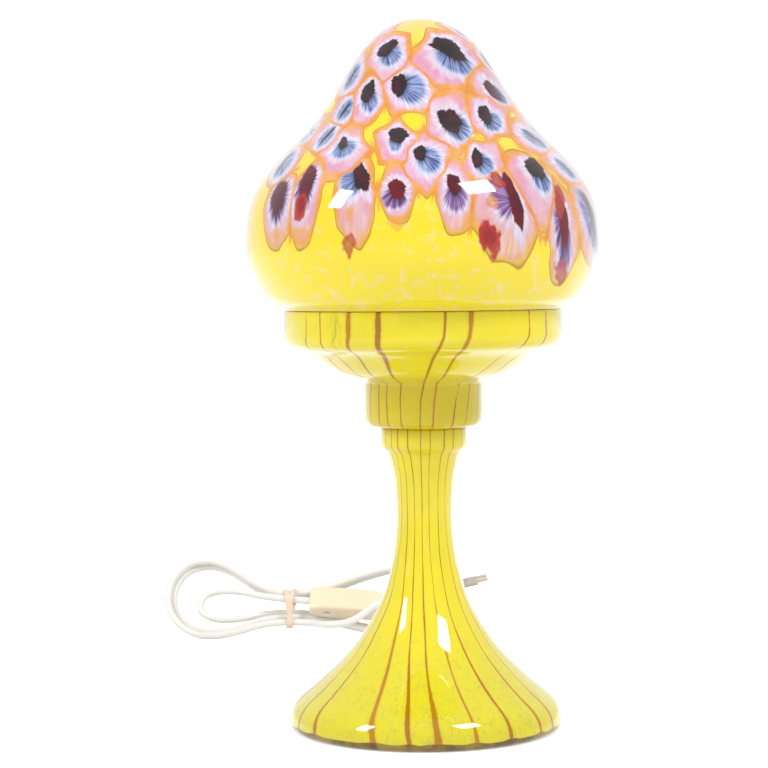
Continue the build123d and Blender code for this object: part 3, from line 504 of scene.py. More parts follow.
# %% [markdown]
# ## The base
# One bubble of glass makes foot, stem, ring, collar and cup. It is clear glass over a yellow layer, with
# brown threads laid on the hot glass before it was drawn out. That is why each thread runs unbroken from
# rim to foot, broad where the glass is wide and a hair's breadth on the stem: a thread keeps its share of
# the girth.

# %% Base
base_columns = 512
foot_line = rounded_line([(76.0, 0), (81.2, 0), (84.4, 2.6), (84.45, 5.8)], (2.2, 1.8))
flare_line = smooth_line(
    [
        (84.45, 5.8), (84.1, 8.6), (80.8, 15.9), (72.7, 23.4), (59.4, 34.8), (47.1, 47.2), (37.8, 59.7),
        (32.1, 69.0), (25.7, 82.0), (22.0, 94.0), (19.8, 103.4), (18.0, 115.8), (17.0, 136.0),
        (17.6, 147.0), (18.6, 157.0), (20.4, 164.3), (21.3, 168.0),
    ]
)
ring_line = rounded_line(
    [
        (21.3, 168.0), (22.9, 171.4), (26.5, 174.6), (26.5, 185.8), (25.1, 187.0), (36.3, 186.9),
        (36.3, 214.4), (42.5, 216.8),
    ],
    (1.6, 2.6, 1.0, 0.5, 6.6, 1.2),
)
cup_line = smooth_line(
    [
        (42.5, 216.8), (50.5, 219.3), (59.1, 224.2), (65.9, 229.2), (69.6, 231.6), (75.2, 234.1),
        (81.6, 236.8), (84.4, 239.4), (85.4, 243.2),
    ]
)
rim_line = rounded_line([(85.4, 244.0), (85.4, 259.0), (81.4, 259.0), (81.4, 244.0)], (1.7, 1.7))
cavity_line = rounded_line(
    [
        (31.5, 219.0), (31.5, 190.0), (21.5, 190.0), (21.5, 172.6), (12.5, 163.4), (12.5, 104.0),
        (19.5, 84.0), (27.0, 68.0),
    ],
    (2.0, 1.0, 1.0, 1.0, 1.0, 2.0),
    spacing=2.0,
)
hollow_points = [(27.0, 68.0), (40.5, 48.5), (57.0, 31.5), (69.0, 20.0), (75.5, 11.0), (73.5, 1.0)]
hollow_line = smooth_line(hollow_points, spacing=3.0)
base_outline = foot_line + flare_line[1:] + ring_line[1:] + cup_line[1:] + rim_line
base_outline += inside_of(cup_line)[::-4] + cavity_line + hollow_line[1:] + [(74.2, 0.0)]
base_piece = lathe("glass_base", base_outline, base_columns)
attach(base_piece, "lamp")
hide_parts("base_glass")

# %% [markdown]
# ### Threads
# A thread is given by where it stands at the rim, the collar, the ring, the stem and the foot's edge, in
# degrees from the front, and by its half width at the rim and at the foot. Those in front follow the
# photograph. The rest of the way round carries more of the same, spaced evenly with a little chance. Each
# vertex stores how far it is from the nearest thread, counted in half widths, so that the material can draw
# a crisp edge at one.

# %% Threads
threads = [
    (-56, -64, -62, -71, -68, 0.4, 0.7),
    (-46, -50, -49, -59, -54, 0.5, 1.1),
    (-31.6, -39, -38, -38, -22.3, 1.05, 2.0),
    (-18.9, -23.5, -22.5, -21, -7.6, 1.25, 1.35),
    (8.0, -3.7, -5.5, -5.5, 4.0, 0.75, 1.6),
    (17.9, 9.8, 6.9, 9.9, 20.3, 1.15, 1.0),
    (46.2, 31.7, 27, 28.6, 35.6, 0.4, 1.25),
    (58.8, 47, 41.4, 50.8, 53.5, 0.55, 1.0),
    (75, 64.5, 60, 68, 65, 0.4, 1.0),
]
back_count, back_start, back_span = 14, 89, 186
thread_reach = 12
smoke_turn, smoke_level = -38.5, 247
for step in range(back_count):
    middle = back_start + step * back_span / (back_count - 1) + random.uniform(-3, 3)
    drift = [middle + random.uniform(-3, 3) for _ in range(5)]
    threads.append((*drift, random.choice((0.4, 0.6, 0.8, 1.1)), random.choice((0.8, 1.1, 1.5))))
places = vertex_places(base_piece)
azimuth = np.degrees(np.arctan2(places[:, 0], -places[:, 1]))
height = places[:, 2]
nearest = np.full(len(places), np.inf)
tone = np.zeros(len(places))
foot_level, waist_level, ring_level, collar_level, rim_level = 6, 107, 180, 205, 245
for number, (*turns, rim_half, foot_half) in enumerate(threads):
    levels = (foot_level, waist_level, ring_level, collar_level, rim_level)
    middle = np.interp(height, levels, turns[::-1])
    middle = middle + 0.35 * np.sin(height / 17 + number * 2.1) + 0.25 * np.sin(height / 6.3 + number)
    thin = 0.45 * foot_half + 0.25
    levels = (foot_level, 16, 40, waist_level, collar_level, rim_level)
    half = np.interp(height, levels, (foot_half, foot_half * 0.85, thin, thin, 0.8, rim_half))
    half = half * (1 + 0.2 * np.sin(height / 11 + number * 1.7) + 0.1 * np.sin(height / 3.7 + number * 5))
    away = np.abs((azimuth - middle + 180) % 360 - 180) / half
    closer = away < nearest
    nearest = np.where(closer, away, nearest)
    tone = np.where(closer, (number * 0.37) % 1.0, tone)
store(base_piece, "thread_distance", np.minimum(nearest, thread_reach))
store(base_piece, "thread_tone", tone)
smoke_way = np.hypot((azimuth - smoke_turn) / 3.2, (height - smoke_level) / 9)
store(base_piece, "smoke", np.clip(1.4 - smoke_way, 0, 1))
print("threads:", len(threads))

# %% [markdown]
# ## The shade
# The shade is a closed dome with a short neck that stands in the cup. Slices of a patterned glass rod, a
# craft of many makers called flower cane work, were picked up on the hot bubble near its top. As the bubble
# grew they spread into ragged flowers, and at the shoulder the glass ran and drew them into long drops.

# %% Shade
shade_columns = 640
shade_radius, shade_foot, shade_height = 108.0, 259.3, 177.7
dome_shares = [
    (0.797, 0.006), (0.874, 0.032), (0.9175, 0.066), (0.948, 0.101), (0.99, 0.17), (1.0, 0.258),
    (0.983, 0.343), (0.94, 0.4125), (0.864, 0.481), (0.758, 0.55), (0.642, 0.619), (0.551, 0.6876),
    (0.474, 0.757), (0.408, 0.8256), (0.363, 0.867), (0.311, 0.908), (0.266, 0.935), (0.192, 0.966),
    (0.1, 0.991), (0.0, 1.0),
]
dome_line = smooth_line(
    [(out * shade_radius, shade_foot + up * shade_height) for out, up in dome_shares], spacing=1.1
)
neck_corners = [(76.8, 262.0), (76.8, 250.3), (80.0, 250.3), (80.0, 259.3), (86.2, 259.3)]
neck_line = rounded_line(neck_corners, (1.2, 1.2, 0.4))
dome_inside = inside_of(dome_line[6:])[::-4]
shade_outline = neck_line + dome_line + [(0.0, shade_foot + shade_height - glass_wall)]
shade_outline += [point for point in dome_inside if 2 < point[0] and (point[0] > 78 or point[1] > 300)]
shade_piece = lathe("glass_shade", shade_outline, shade_columns)
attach(shade_piece, "shade")
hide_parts("shade_glass")

# %% [markdown]
# ### Where the flowers sit
# Each flower is written down as it is seen from the front, in the picture's own measure: the ragged cell
# that it fills, its dark heart, and the blue fan that ran downhill from the heart. A ray from the camera
# finds the glass behind each of them. The back of the shade gets flowers of the same kind, in staggered
# rows. Each line below holds cell, heart and fan as (across, down, half width, half height, lean in
# degrees), and the redness.

# %% Flowers seen from the front
front_flowers = [
    ((388, 55, 21, 25, 25), (387, 48, 5.5, 13, 50), (391, 56, 9, 13, 50), 0.1),
    ((447, 57, 33, 30, -35), (449, 48, 8, 20, -57), (455, 61, 11, 22, -60), 0.0),
    ((410, 87, 26, 27, 0), (399, 85, 8, 11.5, 10), (412, 89, 15, 16, 0), 0.35),
    ((367, 101, 14, 25, 18), (368, 92, 6, 12, 25), (370, 102, 8, 12, 15), 0.3),
    ((450, 121, 24, 27, -25), (450, 121, 10, 14, -45), (458, 128, 12, 16, -45), 0.05),
    ((489, 116, 19, 23, -30), (485, 115, 6, 11, -25), (493, 122, 9, 11, -40), 0.25),
    ((496, 88, 12, 25, -38), (493, 91, 4, 14, -42), (498, 94, 5, 14, -42), 0.35),
    ((343, 150, 20, 26, 42), (343, 143, 4, 7, 20), (344, 149, 8, 14, 60), 0.1),
    ((396, 142, 19, 20, 0), (398, 135, 10, 8, 0), (395, 144, 6.5, 8, 0), 0.1),
    ((426, 159, 24, 27, -8), (420, 153, 6.5, 8, 0), (429, 160, 13, 14, -20), 0.2),
    ((484, 160, 20, 20, -20), (477, 158, 5.5, 10, -10), (484, 164, 9, 13, -35), 0.3),
    ((455, 193, 18, 34, -4), (454, 184, 7, 11.5, -15), (456, 197, 11, 14, -5), 0.6),
    ((537, 187, 19, 40, -25), (535, 168, 7, 13.5, -42), (542, 180, 8, 14, -28), 0.15),
    ((507, 213, 29, 47, -10), (515, 200, 5.5, 34, -17), (501, 193, 10, 24, -20), 0.7),
    ((564, 231, 13.5, 52, -6), (563, 217, 4.5, 32, -8), (564, 240, 7, 36, -6), 0.85),
    ((592, 222, 8, 46, -8), (592, 216, 1.6, 26, -12), (592, 222, 5, 34, -12), 0.5),
    ((533, 138, 9, 24, -52), (533, 137, 1.2, 13, -52), (535, 139, 5, 17, -52), 0.1),
    ((566, 166, 8, 26, -42), (566, 168, 1.0, 10, -42), (566, 168, 4, 16, -42), 0.1),
    ((304, 200, 13.5, 40, 14), (307, 182, 6.5, 20, 20), (304, 190, 8, 26, 18), 0.8),
    ((277, 209, 13, 37, 12), (278, 197, 6.5, 19, 14), (278, 200, 8, 23, 14), 0.6),
    ((354, 198, 17, 44, 3), (361, 176, 8, 16, -15), (350, 183, 11, 14, 0), 0.3),
    ((397, 191, 15.5, 27, -3), (397, 189, 8.5, 11, -12), (394, 198, 12, 10, 0), 0.8),
    ((326, 136, 10, 20, 45), (327, 136, 1.1, 11, 42), (326, 137, 5, 15, 42), 0.1),
    ((284, 163, 9, 23, 38), (284, 162, 1.0, 12, 38), (284, 164, 5, 19, 38), 0.1),
    ((352, 74, 9, 24, 28), (352, 76, 0.9, 11, 28), (352, 76, 5, 17, 28), 0.1),
    ((343, 111, 10, 18, 32), (345, 110, 1.2, 9, 35), (345, 110, 6, 14, 35), 0.1),
]
red_spots = [
    (348, 243, 8, 12, 0, 0.6),
    (300, 208, 7.5, 12, 12, 1.0),
    (490, 240, 10, 21, -15, 1.0),
    (561, 273, 6.5, 12, 14, 0.7),
    (560, 202, 4.5, 19, -5, 0.9),
    (498, 180, 7, 9, -35, 0.7),
    (302, 236, 9, 10, 0, 0.05),
    (397, 223, 9, 8, 0, 0.0),
    (277, 236, 6, 9, 0, 0.05),
    (467, 221, 6, 9, 20, 0.05),
    (494, 203, 6, 7, 0, 0.25),
    (350, 214, 5, 8, 0, 0.1),
]
picture_size = 768
focus = camera_data.lens / camera_data.sensor_width * picture_size
bpy.context.view_layer.update()


def glass_behind(across, down):
    """Where the camera's ray through a place in the picture meets the shade, with the normal there."""
    half = picture_size / 2
    way = camera.rotation_euler.to_matrix() @ Vector(((across - half) / focus, (half - down) / focus, -1.0))
    hit, place, normal, _ = shade_piece.ray_cast(camera.location, way.normalized())
    return (np.array(place) / millimetre, np.array(normal)) if hit else None


def seen_mark(across, down, wide, tall, lean_turn):
    """An oval on the glass that looks in the picture as it is given, or None where no glass is behind it."""
    found = glass_behind(across, down)
    if found is None:
        return None
    steps = []
    for right, below in ((2, 0), (0, 2)):
        other, sign = glass_behind(across + right, down + below), 0.5
        if other is None:
            other, sign = glass_behind(across - right, down - below), -0.5
        steps.append((other[0] - found[0]) * sign)
    return (found[0], found[1], np.linalg.pinv(np.array(steps).T), wide, tall, math.radians(lean_turn))


flowers = []
for *marks, red in front_flowers:
    marks = [seen_mark(*mark) for mark in marks]
    if all(mark is not None for mark in marks):
        flowers.append((*marks, red))
print("flowers in front:", len(flowers), "of", len(front_flowers))

# %% Flowers on the back
picture_scale = 0.617
dome_array = np.array(dome_line)
rows = [(0.95, 5, 23, 23), (0.85, 7, 23, 24), (0.73, 9, 25, 26), (0.60, 12, 27, 28), (0.44, 16, 22, 46)]


def plain_mark(level, turn, wide, tall, lean_turn):
    """An oval on the glass at a height and a turn from the front, in the picture's measure."""
    spot = int(np.clip(np.argmin(np.abs(dome_array[:, 1] - level)), 1, len(dome_array) - 2))
    radius = dome_array[spot][0]
    rise = dome_array[spot + 1] - dome_array[spot - 1]
    rise /= np.linalg.norm(rise)
    place = np.array([radius * math.sin(turn), -radius * math.cos(turn), dome_array[spot][1]])
    normal = np.array([rise[1] * math.sin(turn), -rise[1] * math.cos(turn), -rise[0]])
    side = np.array([math.cos(turn), math.sin(turn), 0.0])
    fall = -np.array([rise[0] * math.sin(turn), -rise[0] * math.cos(turn), rise[1]])
    return place, normal, np.array([side, fall]) / picture_scale, wide, tall, math.radians(lean_turn)


front_middles = np.array([flower[0][0] for flower in flowers])
for row, (up, count, wide, tall) in enumerate(rows):
    level = shade_foot + up * shade_height
    for step in range(count):
        turn = 2 * math.pi * (step + 0.5 * (row % 2) + random.uniform(-0.12, 0.12)) / count
        cell_lean = random.uniform(-25, 25) if row < 4 else random.uniform(-8, 8)
        size = random.uniform(0.9, 1.12)
        cell = plain_mark(level, turn, wide * size, tall * size * random.uniform(0.9, 1.15), cell_lean)
        ring_radius = math.hypot(cell[0][0], cell[0][1])
        free_way = np.min(np.linalg.norm(front_middles - cell[0], axis=1))
        too_near = free_way < 1.5 * wide * picture_scale
        if cell[0][1] < 0 and (too_near or cell[0][1] < -0.5 * ring_radius):
            continue
        heart_wide = random.uniform(0.24, 0.38) * wide
        heart_tall = random.uniform(1.0, 1.7) * heart_wide * (1 if row < 4 else 1.8)
        nudge = random.uniform(-0.004, 0.004) * wide
        heart_level = level + 0.16 * tall * picture_scale
        heart = plain_mark(heart_level, turn + nudge, heart_wide, heart_tall, random.uniform(-35, 35))
        fan = plain_mark(level - 0.02 * tall, turn - nudge, 0.5 * wide, 0.46 * tall, cell_lean)
        red = random.choice((0.0, 0.1, 0.3, 0.35, 0.6)) if row < 4 else random.uniform(0.4, 0.9)
        flowers.append((cell, heart, fan, red))
print("flowers in all:", len(flowers))

# %% [markdown]
# ### From places to numbers
# Every vertex looks for the flower that it lies in: the one whose cell's middle is nearest, counted in that
# cell's own half sizes. It keeps how far out in the cell, the heart and the fan it is, and how near the
# next flower is. Where two flowers meet, the two distances are alike, and the material draws the seam
# there.

# %% Flower values
deepest, widest = 42, 75
places = vertex_places(shade_piece)


def oval_place(mark):
    """Each vertex's place in an oval, in its own half sizes, and whether it is on that side of the glass."""
    middle, normal, inverse, wide, tall, turn = mark
    away = places - middle
    across, down = inverse @ away.T
    x = (across * math.cos(turn) + down * math.sin(turn)) / wide
    y = (down * math.cos(turn) - across * math.sin(turn)) / tall
    return x, y, (away @ normal > -deepest) & (np.linalg.norm(away, axis=1) < widest)


far, cell_reach = 9.0, 3
golden = 0.618
names = ("flower_heart", "flower_fan", "flower_ray_x", "flower_ray_y", "flower_seed", "flower_red")
kept = {name: np.full(len(places), far) for name in names}
best, second = np.full(len(places), far), np.full(len(places), far)
for number, (cell, heart, fan, red) in enumerate(flowers):
    x, y, near = oval_place(cell)
    angle = np.arctan2(y, x)
    corners = 5 + number % 2
    pointed = 1 - 2 * np.abs(np.sin(corners * (angle - 1.7 * number) / 2))
    point = 0.12 if cell[4] < 1.5 * cell[3] else 0.02
    outline = 1 + point * pointed + 0.05 * np.sin(2 * angle + number)
    distance = np.where(near, np.hypot(x, y) / outline, far)
    wins = distance < best
    second = np.where(wins, best, np.minimum(second, distance))
    best = np.where(wins, distance, best)
    heart_x, heart_y, _ = oval_place(heart)
    fan_x, fan_y, _ = oval_place(fan)
    bearing = np.arctan2(heart_y, heart_x)
    corner = 1 + 0.07 * np.sin(3 * bearing + 1.9 * number) + 0.06 * np.sin(5 * bearing + number)
    values = (
        np.hypot(heart_x, heart_y) / corner,
        np.hypot(fan_x, fan_y),
        heart_x * heart[3],
        heart_y * heart[4],
        (number * golden) % 1.0,
        red,
    )
    for name, value in zip(kept, values):
        kept[name] = np.where(wins, value, kept[name])
for name, value in kept.items():
    store(shade_piece, name, value)
store(shade_piece, "flower_reach", np.minimum(best, cell_reach))
store(shade_piece, "flower_gap", np.minimum(second - best, cell_reach))
spot_strength, spot_red = np.zeros(len(places)), np.zeros(len(places))
for *mark, red in red_spots:
    mark = seen_mark(*mark)
    if mark is None:
        continue
    x, y, near = oval_place(mark)
    strength = np.where(near, 2 - np.hypot(x * (1 + 0.45 * np.clip(y, 0, 2)), y), 0)
    spot_red = np.where(strength > spot_strength, red, spot_red)
    spot_strength = np.maximum(spot_strength, strength)
store(shade_piece, "spot_strength", np.clip(spot_strength, 0, 2))
store(shade_piece, "spot_red", spot_red)
print("spots:", len(red_spots))

# %% [markdown]
# ## Finishes
# Every finish here is made of nodes and needs no picture. Most real surfaces share one effect: their colour
# and gloss drift a little from place to place. That is built once, as a node group with named sockets, and
# each material of the fitting, the cord and the plastics places it with its own scale and amount.

# %% Shared group: a little drift in colour and gloss
drift_inputs = {"Colour": (0.8, 0.8, 0.8, 1), "Gloss": 0.4, "Scale": 60.0, "Amount": 0.2}
drift_group, net, given, result = new_group("surface_drift", drift_inputs, ("Colour", "Roughness", "Height"))
place = net.place()
clouds = net.noise(given["Scale"], 4.0, 0.6, vector=place)
grain = net.noise(net.both(given["Scale"], 11.0), 3.0, 0.6, vector=place)
shift = net.scaled(clouds, 0.6, net.both(grain, 0.4))
change = net.both(net.minus(shift, 0.5), given["Amount"])
sockets = {"Color": given["Colour"], "Value": net.math("ADD", change, 1.0)}
drifted = net.put("ShaderNodeHueSaturation", sockets).outputs["Color"]
gloss = net.scaled(change, 0.8, given["Gloss"], clamp=True)
net.fill(result, {"Colour": drifted, "Roughness": gloss, "Height": grain})
print("group:", drift_group.name)

# %% [markdown]
# Blown glass is never quite flat. Its slow waves bend what the surface mirrors, so the base and the shade
# take them from one more group, which puts out a height.

# %% Shared group: slow waves of blown glass
wave_inputs = {"Scale": 22.0, "Detail": 2.0}
wave_group, net, given, result = new_group("glass_waves", wave_inputs, ("Height",))
net.fill(result, {"Height": net.noise(given["Scale"], given["Detail"])})
print("group:", wave_group.name)


# %% Glass from a colour
def glass_finish(net, shader, colour, roughness=0.07):
    """Gives a shader the gloss of thick cased glass over a coloured layer."""
    look = {"Base Color": colour, "Roughness": roughness, "IOR": 1.5, "Specular IOR Level": 0.1}
    look |= {"Coat Weight": 1.0, "Coat Roughness": 0.004, "Coat IOR": 1.36}
    look |= {"Subsurface Weight": 0.12, "Subsurface Radius": (0.9, 0.7, 0.2), "Subsurface Scale": 0.004}
    look |= {"Sheen Weight": 0.38, "Sheen Roughness": 0.25, "Sheen Tint": (1, 0.97, 0.86, 1)}
    net.fill(shader, look)
    waves = net.put("ShaderNodeGroup", wave_inputs, node_tree=wave_group)
    net.bump(shader, waves.outputs["Height"], 0.06, 0.0015)


# %% [markdown]
# ### Yellow glass with threads
# The yellow is a little cloudy, warmer and greener by turns. At the collar, which stands under the cup's
# overhang, it is painted darker and a little more olive: painted shade with a tint. Below the yellow's lower
# edge, which sags a little between the threads, the foot ends in a lip of clear glass that looks olive and
# brown. Its last few millimetres above the floor are painted darker still, partly the thick glass's own tone
# and partly painted contact shadow. Each thread is brown in its middle and bleeds amber at its edge.
# On the cup's left a wisp of smoky green is caught in the glass.

# %% Yellow glass
base_glass_material, net, shader = new_material("yellow_glass_threads")
position = net.place()
level = net.height(position)
drawn = net.put("ShaderNodeMapping", {"Vector": position, "Scale": (1, 1, 0.35)}).outputs["Vector"]
cloud = net.ramp(net.noise(45.0, 4.0, 0.6), 0.35, 0.7)
low = net.fall(level, 0.02, 0.085)
fleck = net.ramp(net.noise(330.0, 4.0, 0.65, vector=drawn, distortion=0.5), 0.55, 0.70)
contour = net.math("ABSOLUTE", net.minus(net.noise(130.0, 2.5, 0.6, vector=drawn, distortion=0.8), 0.5))
scribble = net.both(net.fall(contour, 0.004, 0.022), low)
pale = net.ramp(net.noise(210.0, 3.0, 0.6, vector=drawn), 0.58, 0.72)
# painted shade: the collar, under the cup's overhang, is painted darker and a little more olive
collar_shade_and_tint = net.both(net.ramp(level, 0.176, 0.190), net.fall(level, 0.210, 0.222))
distance = net.stored("thread_distance")
ragged_way = net.scaled(net.minus(net.noise(420.0, 2.0, 0.5), 0.5), 0.6, distance)
bleed, thread = net.fall(ragged_way, 0.7, 2.0), net.fall(ragged_way, 0.62, 1.02)
brown = net.mix(net.stored("thread_tone"), (0.34, 0.12, 0.004), (0.50, 0.21, 0.006))
wisp = net.ramp(net.noise(160.0, 4.0, 0.65, vector=drawn, distortion=1.2), 0.46, 0.62)
smoke = net.both(wisp, net.stored("smoke"))
sag = net.both(net.ramp(distance, 0.6, 5.0), 0.0009)
sag = net.scaled(net.noise(35.0, 1.0), 0.0014, net.math("ADD", sag, level))
clear = net.mix(net.ramp(net.noise(55.0, 3.0), 0.40, 0.58), (0.27, 0.18, 0.02), (0.12, 0.05, 0.015))
# the lip's last few millimetres above the floor are painted darker: partly the glass's own tone, partly
# painted contact shadow
clear = net.mix(net.both(net.fall(sag, 0.0002, 0.0030), 0.6), clear, (0.06, 0.025, 0.006))
lip = net.fall(sag, 0.0060, 0.0067)
yellow = net.layers(
    net.mix(cloud, (0.86, 0.72, 0.018), (0.81, 0.70, 0.03)),
    (net.both(fleck, net.scaled(low, 0.30, 0.08)), (0.50, 0.46, 0.10)),
    (net.both(pale, 0.22), (0.88, 0.78, 0.26)),
    (net.both(low, 0.85), (0.69, 0.62, 0.025)),
    (net.both(scribble, 0.42), (0.38, 0.38, 0.11)),
    (net.both(collar_shade_and_tint, 0.75), (0.64, 0.51, 0.006)),
    (net.both(bleed, 0.35), (0.66, 0.38, 0.015)),
    (net.both(thread, 0.9), brown),
    (net.both(smoke, 0.8), (0.16, 0.20, 0.04)),
    (net.both(lip, 0.92), clear),
)
glass_finish(net, shader, yellow)
base_piece.data.materials.append(base_glass_material)
print("material:", base_glass_material.name)

# %% [markdown]
# ### Flower glass
# Each flower is drawn from the outside in: an orange seam with a thin brown line, pink petals, a ragged
# white ring, a blue fan of fine streaks and a dark heart. The streaks need a noise that changes round the
# heart but not outward, so its place is taken on a small circle: the direction from the heart's middle,
# with the flower's own number as the third axis to make each flower different. The layers at the end lie in
# that order.

# %% Flower glass
flower_material, net, shader = new_material("flower_glass_canes")
reach_value, gap = net.stored("flower_reach"), net.stored("flower_gap")
heart_value, fan_value = net.stored("flower_heart"), net.stored("flower_fan")
redness = net.stored("flower_red")
seed = net.both(net.stored("flower_seed"), 40.0)
sockets = {"X": net.stored("flower_ray_x"), "Y": net.stored("flower_ray_y")}
flat = net.put("ShaderNodeCombineXYZ", sockets).outputs["Vector"]
ray = net.vector("NORMALIZE", flat, {})


def round_noise(fineness, detail):
    """Noise that changes round a flower's heart, and only slowly outward."""
    wide_ray = net.vector("SCALE", ray, {"Scale": fineness})
    offset = net.put("ShaderNodeCombineXYZ", {"Z": net.scaled(reach_value, 0.9, seed)}).outputs["Vector"]
    place = net.vector("ADD", wide_ray, {1: offset})
    return net.minus(net.noise(1.0, detail, 0.6, vector=place), 0.5)


def inside(distance, edge_place, softness, wobble=None, amount=0.0):
    """1 inside an edge and 0 outside, with the edge moved in and out by a wobble."""
    if wobble is not None:
        distance = net.scaled(wobble, amount, distance)
    return net.fall(distance, edge_place - softness, edge_place + softness)


ragged, fine = round_noise(4.5, 2.0), round_noise(11.0, 2.0)
streaks = net.scaled(fine, 0.8, ragged)
patch = net.minus(net.noise(110.0, 2.0, 0.5), 0.5)
position = net.place()
level = net.height(position)
low = net.fall(level, 0.27, 0.345)
speck = net.ramp(net.noise(150.0, 3.0, 0.6, distortion=0.5), 0.54, 0.63)
ground = net.layers(
    net.mix(low, (0.92, 0.66, 0.02), (0.94, 0.76, 0.03)),
    (net.both(net.ramp(level, 0.412, 0.432), 0.75), (0.88, 0.60, 0.16)),
    (net.both(speck, net.scaled(low, 0.42, 0.06)), (0.94, 0.72, 0.42)),
)
print("ground of the shade ready")

# %% Borders and petals
orange = net.mix(net.ramp(net.noise(70.0), 0.38, 0.64), (0.72, 0.26, 0.03), (0.78, 0.37, 0.12))
drift = net.minus(net.noise(48.0, 1.0), 0.5)
rim_place = net.scaled(low, 0.09, reach_value)
border = inside(rim_place, 1.16, 0.05, drift, 0.45)
line = net.both(inside(rim_place, 1.215, 0.02, drift, 0.45), net.minus(1.0, border))
seam = net.both(inside(gap, 0.13, 0.05, patch, 0.3), inside(reach_value, 1.3, 0.08))
crack = net.both(inside(gap, 0.03, 0.02), inside(reach_value, 1.25, 0.08))
pink = net.layers(
    net.mix(net.ramp(net.noise(80.0), 0.40, 0.60), (0.68, 0.31, 0.44), (0.71, 0.43, 0.57)),
    (net.both(net.ramp(net.noise(60.0, 3.0), 0.54, 0.68), 0.6), (0.74, 0.40, 0.19)),
    (net.ramp(reach_value, 0.84, 1.04), (0.72, 0.33, 0.22)),
)
white = net.mix(net.ramp(fine, -0.1, 0.15), (0.68, 0.50, 0.62), (0.74, 0.72, 0.84))
halo = net.math("MINIMUM", net.minus(fan_value, 0.24), net.minus(heart_value, 0.42))
snow = net.both(inside(halo, 1.14, 0.24, streaks, 1.2), inside(reach_value, 0.95, 0.1, ragged, 0.4))
peach = net.mix(net.ramp(fine, -0.1, 0.1), (0.82, 0.43, 0.15), (0.80, 0.61, 0.50))
tail = net.both(inside(reach_value, 0.96, 0.12), net.fall(level, 0.290, 0.332))
tail = net.both(tail, net.minus(0.8, snow, clamp=True))
print("borders and petals ready")

# %% Fans and hearts
violet = net.mix(net.ramp(fine, -0.12, 0.14), (0.13, 0.045, 0.20), (0.42, 0.25, 0.50))
blue = net.layers(
    net.mix(net.ramp(fine, -0.14, 0.14), (0.06, 0.08, 0.25), (0.30, 0.39, 0.66)),
    (net.ramp(fan_value, 0.65, 1.15), (0.52, 0.60, 0.82)),
    (net.both(net.ramp(round_noise(7.0, 3.0), 0.04, 0.16), 0.5), (0.62, 0.67, 0.86)),
    (net.ramp(redness, 0.4, 0.65), violet),
    (net.both(inside(heart_value, 1.3, 0.35, fine, 0.7), 0.7), (0.025, 0.028, 0.09)),
)
dark = net.mix(net.ramp(redness, 0.3, 0.8), (0.008, 0.005, 0.007), (0.16, 0.002, 0.004))
wine = net.mix(redness, (0.05, 0.004, 0.008), (0.10, 0.003, 0.025))
dark = net.mix(net.ramp(net.scaled(fine, 0.5, net.noise(75.0, 2.0)), 0.46, 0.60), dark, wine)
print("fans and hearts ready")

# %% Red drops, and all layers
run_down = net.put("ShaderNodeMapping", {"Vector": position, "Scale": (1, 1, 0.4)}).outputs["Vector"]
runs = net.minus(net.noise(190.0, 2.0, 0.6, vector=run_down), 0.5)
strength = net.scaled(runs, 1.6, net.scaled(patch, 1.3, net.stored("spot_strength")))
spot_tone = net.stored("spot_red")
spot_edge = net.mix(net.ramp(spot_tone, 0.0, 0.6), (0.80, 0.38, 0.05), (0.46, 0.025, 0.012))
spot_deep = net.mix(spot_tone, (0.80, 0.36, 0.10), (0.30, 0.006, 0.008))
colour = net.layers(
    ground,
    (net.both(border, net.scaled(low, -0.35, 0.95)), orange),
    (net.both(line, 0.85), (0.34, 0.13, 0.05)),
    (inside(reach_value, 1.00, 0.08, ragged, 0.28), pink),
    (snow, white),
    (tail, peach),
    (inside(fan_value, 1.0, 0.22, fine, 0.6), blue),
    (inside(heart_value, 0.98, 0.07, streaks, 0.42), dark),
    (net.both(seam, 0.9), orange),
    (net.both(crack, 0.5), (0.46, 0.18, 0.05)),
    (
        net.both(net.ramp(strength, 0.86, 1.16), net.scaled(spot_tone, 0.36, 0.60)),
        net.mix(net.ramp(strength, 1.15, 1.7), spot_edge, spot_deep),
    ),
)
glass_finish(net, shader, colour)
shade_piece.data.materials.append(flower_material)
print("material:", flower_material.name)

# %% [markdown]
# ### Plastics, rubber, metals and the cord
# The fitting's metals and plastics, the cord's sheath and the band each get their own colour, gloss and
# grain from the shared group. The cord's sheath is soft vinyl with a faint long grain, and the band is dry
# rubber.


# %% Plain finishes
def finish(name, colour, gloss, scale, amount, metallic=0.0, bump=0.1, coat=0.0, depth=0.0002):
    """A material with drifting colour and gloss and a fine grain."""
    material, net, shader = new_material(name)
    sockets = {"Colour": (*colour, 1), "Gloss": gloss, "Scale": scale, "Amount": amount}
    drift = net.put("ShaderNodeGroup", sockets, node_tree=drift_group).outputs
    look = {"Base Color": drift["Colour"], "Roughness": drift["Roughness"]}
    net.fill(shader, look | {"Metallic": metallic, "Coat Weight": coat})
    net.bump(shader, drift["Height"], bump, depth)
    return material


